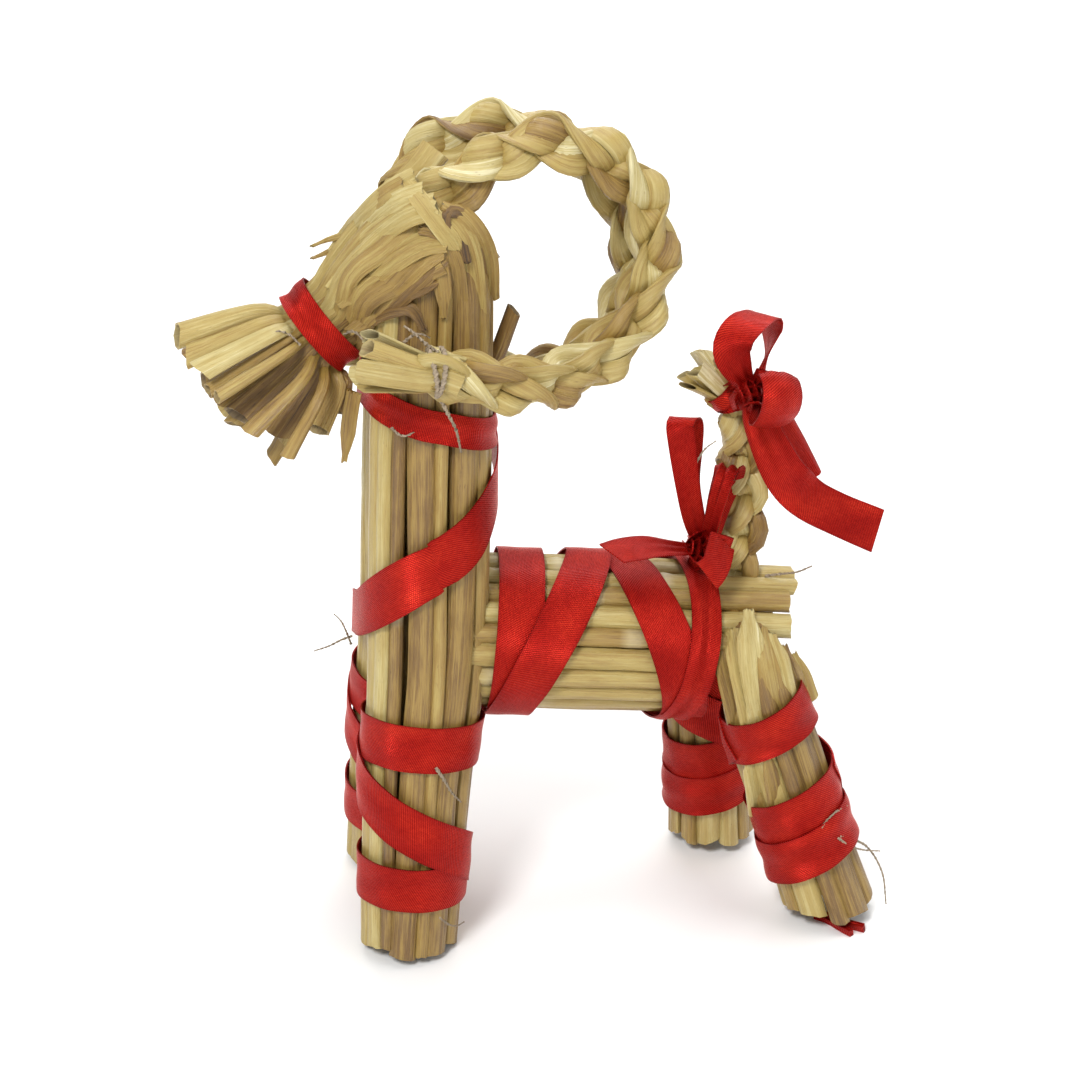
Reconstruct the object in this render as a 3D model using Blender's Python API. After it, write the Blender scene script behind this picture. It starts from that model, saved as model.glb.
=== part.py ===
"""A handmade straw goat bound with red satin ribbon, standing on its four feet.

Units are metres and +Z is up. The goat faces -X, its left side is at -Y, and the ground is at z = 0.
Every bundle of straw runs along a spine, and its straws, its ribbons and its neighbours' cuts are all
placed from that spine and from its width.
"""

import math
import random

import bmesh
import bpy
import numpy as np
from mathutils import Vector

# Straw, ribbon and twine
STRAW_DIAMETER = 0.0048
STRAW_SIDES = 5
STRAW_OVERLAP = 0.04  # share of its diameter by which a straw is pressed into the next one
STRAW_GROOVE = 0.0016  # depth between two straws that lie side by side
STRAW_RAGGEDNESS = 0.0020  # how much the straws of a cut end differ
RIBBON_WIDTH = 0.0095
RIBBON_THICKNESS = 0.0006
RIBBON_LAYER = 0.00045  # how much higher each crossing turn lies
TWINE_DIAMETER = 0.0011
TWINE_TURNS = 2
TWINE_END = 0.0080
TWINE_STEPS = 6  # facets in one turn of twine
CLEARANCE = 0.0004

# Front bundle: two halves, each a front leg below and half of the neck above
NECK_HEIGHT = 0.1550
NECK_LEAN = 0.0100  # how far the neck's top stands behind the front feet
FRONT_FOOT_X = -0.0304
LEFT_FRONT_FOOT_SPREAD = 0.0176
RIGHT_FRONT_FOOT_SPREAD = 0.0208
FRONT_LEG_RADIUS = 0.0112
FRONT_FOOT_RADIUS = 0.0102
FOOT_TRIM = 0.0020  # the straws reach this far below the ground, which then cuts the feet flat
LEG_SPLIT_HEIGHT = 0.0665
NECK_HALF_WIDTH = 0.0095
NECK_HALF_DEPTH = 0.0122
NECK_HALF_SPREAD = 0.0078
SPLIT_HALF_SPREAD = 0.0100
NECK_SQUARENESS = 0.8  # 1 is an ellipse, and less is squarer

# Head and muzzle
HEAD_BACK_SHIFT = 0.0050  # behind the middle of the neck's top
HEAD_BACK_DROP = 0.0040  # below the neck's top
HEAD_BACK_WIDTH = 0.0150
HEAD_BACK_HEIGHT = 0.0110
MUZZLE_TIE_AHEAD = 0.0221  # in front of the middle of the neck's top
MUZZLE_TIE_DROP = 0.0236
MUZZLE_TIE_RADIUS = 0.0084
MUZZLE_LENGTH = 0.0255
MUZZLE_SLOPE = math.radians(38)
MUZZLE_END_WIDTH = 0.0140
MUZZLE_END_HEIGHT = 0.0180
MUZZLE_RIBBON_WIDTH = 0.0058  # the ribbon is pulled tight here, and folds

# Horns: braids that leave the head, turn through a ring and end beside the neck. A ring is given by how far
# its middle lies behind and below the neck's top, and by its radius. A root is given by the angle where
# the ring starts and the slope at which the horn leaves the head.
BRAID_RADIUS = 0.0046
BRAID_PERIOD = 0.0300
LEFT_RING = (0.0209, 0.0095, 0.0220)
LEFT_ROOT = (math.radians(128), math.radians(33))
RIGHT_RING = (0.0139, 0.0150, 0.0275)
RIGHT_ROOT = (math.radians(124), math.radians(70))
HORN_LAST_ANGLE = math.radians(-92)
HORN_ROOT_DEPTH = 0.0110
HORN_ROOT_SPREAD = 0.0080
HORN_TAIL_RISE = 0.0052
HORN_TIE_AHEAD = 0.0036  # in front of the middle of the neck's top
HORN_TIE_RADIUS = 0.0038
HORN_TIP_LENGTH = 0.0125
HORN_TIP_RADIUS = 0.0062

# Body bundle
BODY_RADIUS = 0.0164
BODY_FRONT_SHIFT = 0.0084  # behind the front feet
BODY_FRONT_DROP = 0.0015  # below the height where the neck splits into the legs
BODY_LENGTH = 0.0755
BODY_FALL = 0.0080  # the rump lies this much lower than the front

# Hind bundle: an upside-down V, with its crown inside the body bundle
CROWN_SHIFT = 0.0150  # in front of the body's rear end
CROWN_DEPTH = 0.0105  # from the top of the body down to the middle of the crown
CROWN_HALF_HEIGHT = 0.0052
CROWN_HALF_LENGTH = 0.0075
HIND_LEG_RADIUS = 0.0093
HIND_FOOT_RADIUS = 0.0098
HIND_SHOULDER_SPREAD = 0.0120
LEFT_HIND_FOOT = (0.0227, -0.0196, 0.0020)  # behind the crown, to the side, and above the ground
RIGHT_HIND_FOOT = (0.0047, 0.0165, 0.0006)

# Tail
TAIL_ROOT_SHIFT = 0.0027  # behind the crown
TAIL_BULGE = 0.0018
TAIL_TIE_SHIFT = 0.0012
TAIL_HEIGHT = 0.0430  # from the crown up to the tie
TAIL_RADIUS = 0.0048
TAIL_PERIOD = 0.0210
TAIL_TIE_RADIUS = 0.0034
TAIL_TIP_RADIUS = 0.0060
TAIL_TIP_LENGTH = 0.0080
TAIL_RIBBON_WIDTH = 0.0055

# The straws that stand out of a braid's tie
TUFT_STRAWS = 6
TUFT_STRAW_DIAMETER = 0.0036

# Ribbon turns
COLLAR_DROP = 0.0395  # below the neck's top
COLLAR_TILT = 0.0042
COLLAR_WIDTH = 0.0070  # the ribbon is folded here
DIAGONAL_DROPS = (0.0165, 0.0083)  # its start below the collar, its end below the split into the legs
DIAGONAL_ANGLES = (math.radians(330), math.radians(125))
FRONT_LEG_TURNS = (0.0172, 0.0190)  # the lower one above the foot, the upper one below the split
FRONT_LEG_TILT = 0.0
FRONT_LEG_SPIRAL = (math.radians(115), math.radians(367))  # angles from the upper turn to the next one down
HIND_LEG_TURNS = (0.0180, 0.0266)  # above the foot
HIND_TOP_TURN = 0.0267  # below the middle of the crown
HIND_LEG_TILT = 0.0019
HIND_LEG_SPIRAL = (math.radians(190), math.radians(-10))
# Each turn round the body is given by its middle's distance from the body's end and its tilt
BODY_FRONT_TURNS = ((0.0170, 0.0016), (0.0241, 0.0084))
BODY_REAR_TURNS = ((0.0304, -0.0077), (0.0244, 0.0029))
BODY_TURN_LEADS = (math.radians(0), math.radians(60), math.radians(60), math.radians(142))
BODY_TURN_SHARES = (1.0, 1.0, 1.0, 0.65)  # of the ribbon's width; the last turn is folded
KNOT_RADIUS = 0.0036
RING_FACETS = 12
LEG_FACETS = 10
FACET_TURN = 0.06  # share of a facet by which each next turn starts further round
SPIRAL_INSET = 0.06  # share of the way by which a spiral starts and ends inside its turns
BACK_LOOP_AIM = (-0.12, -0.05, 1)
BACK_SMALL_LOOP_AIM = (0.05, -0.5, 0.86)
BACK_END_AIM = (0.1, -0.9, -0.35)
BACK_END_SHARES = (0.4, 0.75, 0.75)
TAIL_LOOP_AIM = (0.15, -0.05, 1)
TAIL_SMALL_LOOP_AIM = (0.5, -1, 0.1)
BACK_LOOP_HEIGHT = 0.0290
BACK_SMALL_LOOP_HEIGHT = 0.0140
BACK_RIBBON_END = 0.0090
TAIL_KNOT_ANGLE = math.radians(230)
TAIL_LOOP_HEIGHT = 0.0185
TAIL_SMALL_LOOP_LENGTH = 0.0075
TAIL_RIBBON_END = (0.0275, 0.0270)  # how far the long ribbon end reaches back and down
TAIL_END_SPREAD = 0.0045
LOOP_GAP = 0.0040
GATHER = 0.4  # share of the ribbon's width left where a knot gathers it

STRAW_COLOUR = (0.50, 0.36, 0.15, 1)
RIBBON_COLOUR = (0.50, 0.012, 0.012, 1)
TWINE_COLOUR = (0.36, 0.28, 0.19, 1)

HIND_STATIONS = 13
HIND_CROWDING = 1.6
SPINE_STEPS = 16  # samples between two given points of a spine
STATION_STEP = 0.0002  # length over which a spine's direction is measured


def curve_through(rows):
    """Rows of numbers on a smooth curve through the given rows."""
    rows = np.array(rows, float)
    ends = np.vstack([2 * rows[0] - rows[1], rows, 2 * rows[-1] - rows[-2]])
    made = []
    for before, start, end, after in zip(ends, ends[1:], ends[2:], ends[3:]):
        for step in range(SPINE_STEPS):
            t = step / SPINE_STEPS
            made.append(
                start
                + t * 0.5 * (end - before)
                + t**2 * (before - 2.5 * start + 2 * end - 0.5 * after)
                + t**3 * 0.5 * (after - before + 3 * (start - end))
            )
    made.append(rows[-1])
    return np.array(made)


class Spine:
    """A smooth line through stations (x, y, z, half width, half height), read by distance along it."""

    def __init__(self, stations, side, squareness=1):
        self.rows = curve_through(stations)
        gaps = np.linalg.norm(np.diff(self.rows[:, :3], axis=0), axis=1)
        self.reach = np.concatenate([[0], np.cumsum(gaps)])
        self.length = self.reach[-1]
        self.side = np.array(side, float)
        self.squareness = squareness

    def row(self, s):
        return np.array([np.interp(s, self.reach, column) for column in self.rows.T])

    def frame(self, s):
        """(centre, direction, side, up, half width, half height) at a distance along the spine."""
        inside = min(max(s, 0), self.length)
        low = max(inside - STATION_STEP, 0)
        high = min(inside + STATION_STEP, self.length)
        ahead = self.row(high)[:3] - self.row(low)[:3]
        ahead /= np.linalg.norm(ahead)
        side = self.side - ahead * self.side.dot(ahead)
        side /= np.linalg.norm(side)
        x, y, z, wide, high = self.row(inside)
        centre = np.array([x, y, z]) + ahead * (s - inside)
        return centre, ahead, side, np.cross(ahead, side), wide, high

    def point(self, s, angle, lift=0.0, share=1.0):
        """A point of the outline at an angle, moved out by lift and in by the share of its size."""
        centre, _, side, up, wide, high = self.frame(s)
        across, over = math.cos(angle), math.sin(angle)
        across = math.copysign(abs(across) ** self.squareness, across)
        over = math.copysign(abs(over) ** self.squareness, over)
        return centre + side * (wide * share + lift) * across + up * (high * share + lift) * over

    def outward(self, s, angle):
        _, _, side, up, wide, high = self.frame(s)
        out = side * math.cos(angle) * high + up * math.sin(angle) * wide
        return out / np.linalg.norm(out)


def straw_count(wide, high):
    """How many straws stand side by side round an outline of these half sizes."""
    wide, high = wide - STRAW_DIAMETER / 2, high - STRAW_DIAMETER / 2
    round_it = math.pi * (3 * (wide + high) - math.sqrt((3 * wide + high) * (wide + 3 * high)))
    return round(round_it / (STRAW_DIAMETER * (1 - STRAW_OVERLAP)))


def ring_faces(rings, sides):
    """The faces of a closed shell made of rings of points, with a cap at each end."""
    faces = [tuple(range(sides - 1, -1, -1))]
    for i in range(rings - 1):
        for k in range(sides):
            a, b = i * sides + k, i * sides + (k + 1) % sides
            faces.append((a, b, b + sides, a + sides))
    last = (rings - 1) * sides
    faces.append(tuple(range(last, last + sides)))
    return faces


def ribbon_faces(count, closed, flipped):
    """The faces of a flat ribbon made of four points a row; both its broad faces fold the same way."""
    faces = []
    for i in range(count if closed else count - 1):
        a, b = 4 * i, 4 * ((i + 1) % count)
        faces += [(a, a + 1, b + 1), (a, b + 1, b), (a + 1, a + 2, b + 2, b + 1)]
        faces += [(a + 2, a + 3, b + 2), (a + 3, b + 3, b + 2), (a + 3, a, b, b + 3)]
    if not closed:
        last = 4 * (count - 1)
        faces += [(3, 2, 1, 0), (last, last + 1, last + 2, last + 3)]
    return [face[::-1] for face in faces] if flipped else faces


def tube(path, outs, wides, highs, sides):
    """Points and faces of a closed tube along a path; outs are the ways its height points."""
    path = np.array(path)
    points = []
    for i, centre in enumerate(path):
        ahead = path[min(i + 1, len(path) - 1)] - path[max(i - 1, 0)]
        ahead = ahead / np.linalg.norm(ahead)
        up = outs[i] - ahead * np.dot(outs[i], ahead)
        up = up / np.linalg.norm(up)
        side = np.cross(up, ahead)
        for k in range(sides):
            angle = 2 * math.pi * (k + 0.5) / sides
            points.append(centre + side * wides[i] * math.cos(angle) + up * highs[i] * math.sin(angle))
    return points, ring_faces(len(path), sides)


def straw(spine, start, end, angle, share, steps, diameter=STRAW_DIAMETER):
    """One straw that keeps its place in the bundle, as an angle and a share of the outline."""
    reach = np.linspace(start, end, steps + 1)
    path = [spine.point(s, angle, -diameter / 2, share) for s in reach]
    outs = [spine.outward(s, angle) for s in reach]
    half = [diameter / 2] * len(path)
    return tube(path, outs, half, half, STRAW_SIDES)


def packed_straws(spine, reach, count, rng):
    """Straws side by side round a spine as one closed shell, with a groove between each two of them."""
    pitch = 2 * math.pi / count
    ends = [rng.uniform(0, STRAW_RAGGEDNESS) for _ in range(count)]
    points = []
    for i, s in enumerate(reach):
        last = i == len(reach) - 1
        for k in range(count):
            own, next_to = ends[k] * last, ends[k - 1] * last
            points.append(spine.point(s - max(own, next_to), (k - 0.5) * pitch, -STRAW_GROOVE))
            points.append(spine.point(s - own, (k - 0.2) * pitch))
            points.append(spine.point(s - own, (k + 0.2) * pitch))
    return points, ring_faces(len(reach), 3 * count)


def envelope(spine, reach, lift, sides=14):
    """The outline of a bundle through its stations, grown by lift, with no facet inside it."""
    frames = [spine.frame(s) for s in reach]
    path = [f[0] for f in frames]
    outs = [f[3] for f in frames]
    round_it = 1 / math.cos(math.pi / sides)
    wides = [(f[4] + lift) * round_it for f in frames]
    highs = [(f[5] + lift) * round_it for f in frames]
    return tube(path, outs, wides, highs, sides)


def band(spine, route, layer=0, closed=False, width=RIBBON_WIDTH):
    """A flat ribbon on a bundle, along a route of (distance, angle)."""
    low = CLEARANCE + layer * RIBBON_LAYER
    high = low + RIBBON_THICKNESS
    route = np.array(route)
    facet = abs(route[1][1] - route[0][1])
    points = []
    for i, (s, angle) in enumerate(route):
        before = route[i - 1] if i or closed else route[i]
        after = route[(i + 1) % len(route)] if i + 1 < len(route) or closed else route[i]
        turn = (after[1] - before[1] + math.pi) % (2 * math.pi) - math.pi
        _, _, _, _, wide, tall = spine.frame(s)
        pitch = math.atan2(after[0] - before[0], abs(turn) * (wide + tall) / 2)
        half = width / 2 / max(math.cos(pitch), 0.4)
        for end, lift in ((-half, low), (half, low), (half, high), (-half, high)):
            points.append(spine.point(s + end, angle, lift, 1 / math.cos(facet / 2)))
    return points, ribbon_faces(len(route), closed, route[-1][1] < route[0][1])


def ring_route(middle, tilt, lead=math.pi / 2, turn=0, count=RING_FACETS):
    """A closed turn round a bundle; tilt moves it along the bundle at the lead angle, and back opposite."""
    angles = [2 * math.pi * (i + FACET_TURN * turn) / count for i in range(count)]
    return [(middle + tilt * math.cos(angle - lead), angle) for angle in angles]


def ribbon_room(spine, middle):
    """The space that a turn of ribbon takes, with its clearance, to cut out of a neighbour."""
    half = RIBBON_WIDTH / 2 + 2 * CLEARANCE
    lift = 4 * CLEARANCE + RIBBON_THICKNESS + RIBBON_LAYER
    return envelope(spine, [middle - half, middle + half], lift, LEG_FACETS)


def helix_route(start, end, first, last, count):
    return [
        (start + (end - start) * i / count, first + (last - first) * i / count) for i in range(count + 1)
    ]


def strap(points, across, shares, rows=1):
    """A free length of ribbon through points; across gives its width's direction at each point.

    The shares are the parts of the ribbon's width left open, where it is gathered in a knot.
    """
    path = curve_through([(*p, *a, share) for p, a, share in zip(points, across, shares)])
    path = path[:: SPINE_STEPS // rows]
    made = []
    for i, row in enumerate(path):
        ahead = path[min(i + 1, len(path) - 1)][:3] - path[max(i - 1, 0)][:3]
        ahead = ahead / np.linalg.norm(ahead)
        side = row[3:6] - ahead * np.dot(row[3:6], ahead)
        side = side / np.linalg.norm(side) * row[6] * RIBBON_WIDTH / 2
        up = np.cross(side, ahead)
        up = up / np.linalg.norm(up) * RIBBON_THICKNESS / 2
        made += [row[:3] - side - up, row[:3] + side - up, row[:3] + side + up, row[:3] - side + up]
    return made, ribbon_faces(len(path), False, True)


def braid_reach(wide, high, turn, angle):
    """How far a braid's outline stands from its middle: the furthest of its three flat strands.

    Each strand swings from side to side as it passes over and under the others.
    """
    furthest = 0
    for k in range(3):
        phase = 2 * math.pi * (turn + k / 3)
        half = np.array((0.62 * wide, 0.54 * high))
        middle = np.array((0.36 * wide * math.sin(2 * phase), 0.46 * high * math.sin(phase))) / half
        along = np.array((math.cos(angle), math.sin(angle))) / half
        a, b, c = along.dot(along), along.dot(middle), middle.dot(middle) - 1
        furthest = max(furthest, (b + math.sqrt(b * b - a * c)) / a)
    return furthest


def braid(spine, start, end, period, steps, sides=9):
    """A three-strand braid along a spine, as one closed shell."""
    points = []
    for s in np.linspace(start, end, steps + 1):
        centre, _, side, up, wide, high = spine.frame(s)
        for k in range(sides):
            angle = 2 * math.pi * (k + 0.5) / sides
            reach = braid_reach(wide, high, s / period, angle)
            points.append(centre + (side * math.cos(angle) + up * math.sin(angle)) * reach)
    return points, ring_faces(steps + 1, sides)


def tuft(spine, tie, rng):
    """The straws that stand out of a braid's tie."""
    shells = []
    for i in range(TUFT_STRAWS):
        angle = 2 * math.pi * (i + 0.3 * rng.random()) / TUFT_STRAWS
        end = spine.length - rng.uniform(0, TUFT_STRAW_DIAMETER)
        shells.append(straw(spine, tie, end, angle, 1, 1, TUFT_STRAW_DIAMETER))
    return shells


def material(name, colour, roughness):
    made = bpy.data.materials.new(name)
    made.use_nodes = True
    shader = made.node_tree.nodes["Principled BSDF"]
    shader.inputs["Base Color"].default_value = colour
    shader.inputs["Roughness"].default_value = roughness
    shader.inputs["Metallic"].default_value = 0.0
    made.diffuse_color = colour
    return made


def shell_object(name, shell):
    points, faces = shell
    mesh = bpy.data.meshes.new(name)
    mesh.from_pydata([tuple(p) for p in points], [], faces)
    made = bpy.data.objects.new(name, mesh)
    bpy.context.scene.collection.objects.link(made)
    return made


def fill_hollows(mesh):
    """Drops every inner surface, so that the small spaces sealed between straws are solid."""
    model = bmesh.new()
    model.from_mesh(mesh)
    waiting = set(model.faces)
    while waiting:
        island, rim = [], [waiting.pop()]
        while rim:
            face = rim.pop()
            island.append(face)
            for edge in face.edges:
                for other in edge.link_faces:
                    if other in waiting:
                        waiting.remove(other)
                        rim.append(other)
        origin = island[0].verts[0].co
        volume = 0
        for face in island:
            volume += (face.calc_center_median() - origin).dot(face.normal) * face.calc_area()
        if volume < 0:
            bmesh.ops.delete(model, geom=island, context="FACES")
    model.to_mesh(mesh)
    model.free()


def fuse(name, shells, look, cutters=()):
    """One solid from overlapping shells, less what the cutters take away."""
    made = shell_object(name, shells[0])
    helpers = bpy.data.collections.new(name + "_shells")
    tools = [shell_object(name + "_shell", shell) for shell in shells[1:]]
    for tool in tools:
        helpers.objects.link(tool)
    if tools:
        union = made.modifiers.new("union", "BOOLEAN")
        union.operation = "UNION"
        union.operand_type = "COLLECTION"
        union.collection = helpers
    for cutter in cutters:
        tool = shell_object(name + "_cutter", cutter)
        cut = made.modifiers.new("cut", "BOOLEAN")
        cut.operation = "DIFFERENCE"
        cut.object = tool
        tools.append(tool)
    bpy.context.view_layer.update()
    graph = bpy.context.evaluated_depsgraph_get()
    mesh = bpy.data.meshes.new_from_object(made.evaluated_get(graph))
    fill_hollows(mesh)
    made.modifiers.clear()
    made.data = mesh
    mesh.name = name
    for tool in tools:
        bpy.data.objects.remove(tool)
    bpy.data.collections.remove(helpers)
    mesh.materials.clear()
    mesh.materials.append(look)
    mesh.shade_smooth()
    mesh.set_sharp_from_angle(angle=math.radians(35))
    return made


def clear_scene():
    for obj in list(bpy.data.objects):
        bpy.data.objects.remove(obj, do_unlink=True)


def lump(centre, radius, sides=7, steps=3):
    """A rounded knot."""
    reach = np.linspace(-0.92, 0.92, steps + 1)
    path = [np.array(centre) + np.array((0, 0, radius * r)) for r in reach]
    halves = [radius * math.sqrt(1 - r * r) for r in reach]
    return tube(path, [np.array((0, 1, 0))] * len(path), halves, halves, sides)


def ground_block():
    """A block under the ground plane, which cuts the feet flat."""
    size, depth = 0.3, 0.03
    points = [(x * size, y * size, z) for z in (-depth, 0) for x, y in ((-1, -1), (1, -1), (1, 1), (-1, 1))]
    faces = [(3, 2, 1, 0), (4, 5, 6, 7), (0, 1, 5, 4), (1, 2, 6, 5), (2, 3, 7, 6), (3, 0, 4, 7)]
    return points, faces


def front_half(side, foot_spread):
    """One half of the front bundle, from its foot to the top of the neck."""
    top_x = FRONT_FOOT_X + NECK_LEAN
    split_x = FRONT_FOOT_X + NECK_LEAN * 0.62
    knee = (FRONT_FOOT_X + split_x) / 2, side * (foot_spread + SPLIT_HALF_SPREAD) / 2
    middle = (LEG_SPLIT_HEIGHT + NECK_HEIGHT) / 2
    stations = [
        (FRONT_FOOT_X, side * foot_spread, 0, FRONT_FOOT_RADIUS, FRONT_FOOT_RADIUS),
        (*knee, LEG_SPLIT_HEIGHT * 0.55, FRONT_LEG_RADIUS, FRONT_LEG_RADIUS),
        (split_x, side * SPLIT_HALF_SPREAD, LEG_SPLIT_HEIGHT, NECK_HALF_DEPTH, FRONT_LEG_RADIUS * 0.95),
        (top_x - NECK_LEAN * 0.2, side * NECK_HALF_SPREAD, middle, NECK_HALF_DEPTH, NECK_HALF_WIDTH),
        (top_x, side * NECK_HALF_SPREAD, NECK_HEIGHT, NECK_HALF_DEPTH * 0.9, NECK_HALF_WIDTH * 0.95),
    ]
    return Spine(stations, (1, 0, 0))


def whole_neck(left, right):
    """The outline round both halves, for what is wound round the neck."""
    stations = []
    for s in np.linspace(0, left.length, 8):
        centre, _, _, _, wide, high = left.frame(s)
        other, _, _, _, _, other_high = right.frame(s)
        spread = (abs(centre[1] - other[1]) + high + other_high) / 2
        stations.append((*(centre + other) / 2, wide * 1.09, spread))
    return Spine(stations, (1, 0, 0), NECK_SQUARENESS)


def head_spine():
    """The head and muzzle, from inside the neck's top down to the muzzle's open end."""
    ahead = Vector((-math.cos(MUZZLE_SLOPE), 0, -math.sin(MUZZLE_SLOPE)))
    top_x = FRONT_FOOT_X + NECK_LEAN
    tie = Vector((top_x - MUZZLE_TIE_AHEAD, 0, NECK_HEIGHT - MUZZLE_TIE_DROP))
    end = tie + ahead * MUZZLE_LENGTH
    back = Vector((top_x + HEAD_BACK_SHIFT, 0, NECK_HEIGHT - HEAD_BACK_DROP))
    halfway = back.lerp(tie, 0.5)
    before, after = tie - ahead * RIBBON_WIDTH * 0.55, tie + ahead * RIBBON_WIDTH * 0.55
    stations = [
        (*back, HEAD_BACK_WIDTH, HEAD_BACK_HEIGHT),
        (*halfway, (HEAD_BACK_WIDTH + MUZZLE_TIE_RADIUS) / 2, (HEAD_BACK_HEIGHT + MUZZLE_TIE_RADIUS) / 2),
        (*before, MUZZLE_TIE_RADIUS, MUZZLE_TIE_RADIUS),
        (*after, MUZZLE_TIE_RADIUS, MUZZLE_TIE_RADIUS),
        (*end, MUZZLE_END_WIDTH, MUZZLE_END_HEIGHT),
    ]
    return Spine(stations, (0, 1, 0))


def horn_spine(side, ring, root, neck):
    """A horn: out of the head, round its ring, and on to its tie beside the neck and its flared end."""
    ring_shift, ring_drop, radius = ring
    root_angle, root_slope = root
    top_x = FRONT_FOOT_X + NECK_LEAN
    ring_x, ring_z, tie_x = top_x + ring_shift, NECK_HEIGHT - ring_drop, top_x - HORN_TIE_AHEAD
    bottom = ring_z - radius
    ribbon = 3 * CLEARANCE + RIBBON_THICKNESS + RIBBON_LAYER
    beside = neck.frame(bottom)[5] / math.cos(math.pi / RING_FACETS) + ribbon + BRAID_RADIUS
    between = BRAID_RADIUS + CLEARANCE
    stations = []
    for i in range(10):
        share = i / 9
        angle = root_angle + (HORN_LAST_ANGLE - root_angle) * share
        if share < 0.5:
            out = HORN_ROOT_SPREAD + (between - HORN_ROOT_SPREAD) * share * 2
        else:
            out = between + (beside * 0.8 - between) * (share * 2 - 1) ** 1.7
        x, z = ring_x + radius * math.cos(angle), ring_z + radius * math.sin(angle)
        stations.append((x, side * out, z, BRAID_RADIUS, BRAID_RADIUS))
    x, y, z, _, _ = stations[0]
    inside = x - HORN_ROOT_DEPTH * math.cos(root_slope), y, z - HORN_ROOT_DEPTH * math.sin(root_slope)
    stations.insert(0, (*inside, BRAID_RADIUS, BRAID_RADIUS))
    halfway = (stations[-1][0] + tie_x) / 2
    tie_z = bottom + HORN_TAIL_RISE
    tied = beside + TWINE_DIAMETER
    stations += [
        (halfway, side * beside, bottom + HORN_TAIL_RISE * 0.3, BRAID_RADIUS, BRAID_RADIUS),
        (tie_x + 1.5 * TWINE_DIAMETER, side * tied, tie_z, HORN_TIE_RADIUS, HORN_TIE_RADIUS),
        (tie_x - 1.5 * TWINE_DIAMETER, side * tied, tie_z, HORN_TIE_RADIUS, HORN_TIE_RADIUS),
        (
            tie_x - HORN_TIP_LENGTH,
            side * (beside + (HORN_TIP_RADIUS - BRAID_RADIUS)),
            tie_z + HORN_TAIL_RISE * 0.6,
            HORN_TIP_RADIUS * 0.75,
            HORN_TIP_RADIUS,
        ),
    ]
    return Spine(stations, (0, 1, 0))


def body_spine():
    front_x, front_z = FRONT_FOOT_X + BODY_FRONT_SHIFT, LEG_SPLIT_HEIGHT - BODY_FRONT_DROP
    front = (front_x, 0, front_z, BODY_RADIUS, BODY_RADIUS)
    rear = (front_x + BODY_LENGTH, 0, front_z - BODY_FALL, BODY_RADIUS, BODY_RADIUS)
    return Spine([front, rear], (0, 1, 0))


def crown_top(body):
    """(x, z) of the top of the hind bundle's crown, where the tail stands on it."""
    x = body.rows[-1][0] - CROWN_SHIFT
    fallen = BODY_FALL * (1 - CROWN_SHIFT / BODY_LENGTH)
    return x, body.rows[0][2] - fallen + BODY_RADIUS - CROWN_DEPTH + CROWN_HALF_HEIGHT


def hind_spine(body):
    """The hind legs, from the left foot over the crown to the right foot."""
    crown_x, top = crown_top(body)
    crown_z = top - CROWN_HALF_HEIGHT
    round_leg = (HIND_LEG_RADIUS, HIND_LEG_RADIUS)
    stations = []
    for shift, spread, height in (LEFT_HIND_FOOT, RIGHT_HIND_FOOT):
        foot = Vector((crown_x + shift, spread, height))
        side = math.copysign(HIND_SHOULDER_SPREAD, spread)
        shoulder = Vector((crown_x + shift * 0.2, side, crown_z - HIND_LEG_RADIUS * 0.7))
        down = foot - shoulder
        leg = [
            (*foot, HIND_FOOT_RADIUS, HIND_FOOT_RADIUS),
            (*(shoulder + down * 0.66), *round_leg),
            (*(shoulder + down * 0.3), *round_leg),
            (*shoulder, CROWN_HALF_LENGTH, HIND_LEG_RADIUS),
        ]
        stations.append(leg)
    left, right = stations
    crown = (crown_x, 0, crown_z, CROWN_HALF_LENGTH, CROWN_HALF_HEIGHT)
    return Spine(left + [crown] + right[::-1], (1, 0, 0))


def tail_spine(body):
    crown_x, top = crown_top(body)
    root_x, root_z = crown_x + TAIL_ROOT_SHIFT, top + CLEARANCE
    tie_x, tie_z = crown_x + TAIL_TIE_SHIFT, top + TAIL_HEIGHT
    rise = tie_z - root_z
    bulge_x = max(root_x, tie_x) + TAIL_BULGE
    tip = TAIL_TIP_LENGTH * math.sqrt(0.5)
    tied = TAIL_RIBBON_WIDTH * 0.36
    stations = [
        (root_x, 0, root_z, TAIL_RADIUS, TAIL_RADIUS),
        (bulge_x, 0, root_z + rise * 0.35, TAIL_RADIUS, TAIL_RADIUS),
        (bulge_x - TAIL_BULGE * 0.4, 0, root_z + rise * 0.7, TAIL_RADIUS, TAIL_RADIUS),
        (tie_x + tied, 0, tie_z - tied, TAIL_TIE_RADIUS, TAIL_TIE_RADIUS),
        (tie_x - tied, 0, tie_z + tied, TAIL_TIE_RADIUS, TAIL_TIE_RADIUS),
        (tie_x - tied - tip, 0, tie_z + tied + tip, TAIL_TIP_RADIUS, TAIL_TIP_RADIUS),
    ]
    return Spine(stations, (0, 1, 0))


def is_inside(spine, point, margin):
    """Whether a point lies inside a bundle's outline, grown by a margin."""
    nearest = np.argmin(np.linalg.norm(spine.rows[:, :3] - point, axis=1))
    centre, _, side, up, wide, high = spine.frame(spine.reach[nearest])
    away = point - centre
    return math.hypot(away.dot(side) / (wide + margin), away.dot(up) / (high + margin)) < 1


def front_stations(spine):
    split = LEG_SPLIT_HEIGHT
    return [-FOOT_TRIM, split * 0.3, split * 0.6, split * 0.9, (split + spine.length) / 2, spine.length]


def hind_stations(hind):
    """Stations that crowd together over the crown, where the bundle is bent."""
    half = hind.length / 2
    shares = np.linspace(-1, 1, HIND_STATIONS)
    return [half + math.copysign(half * abs(share) ** HIND_CROWDING, share) for share in shares]


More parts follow.
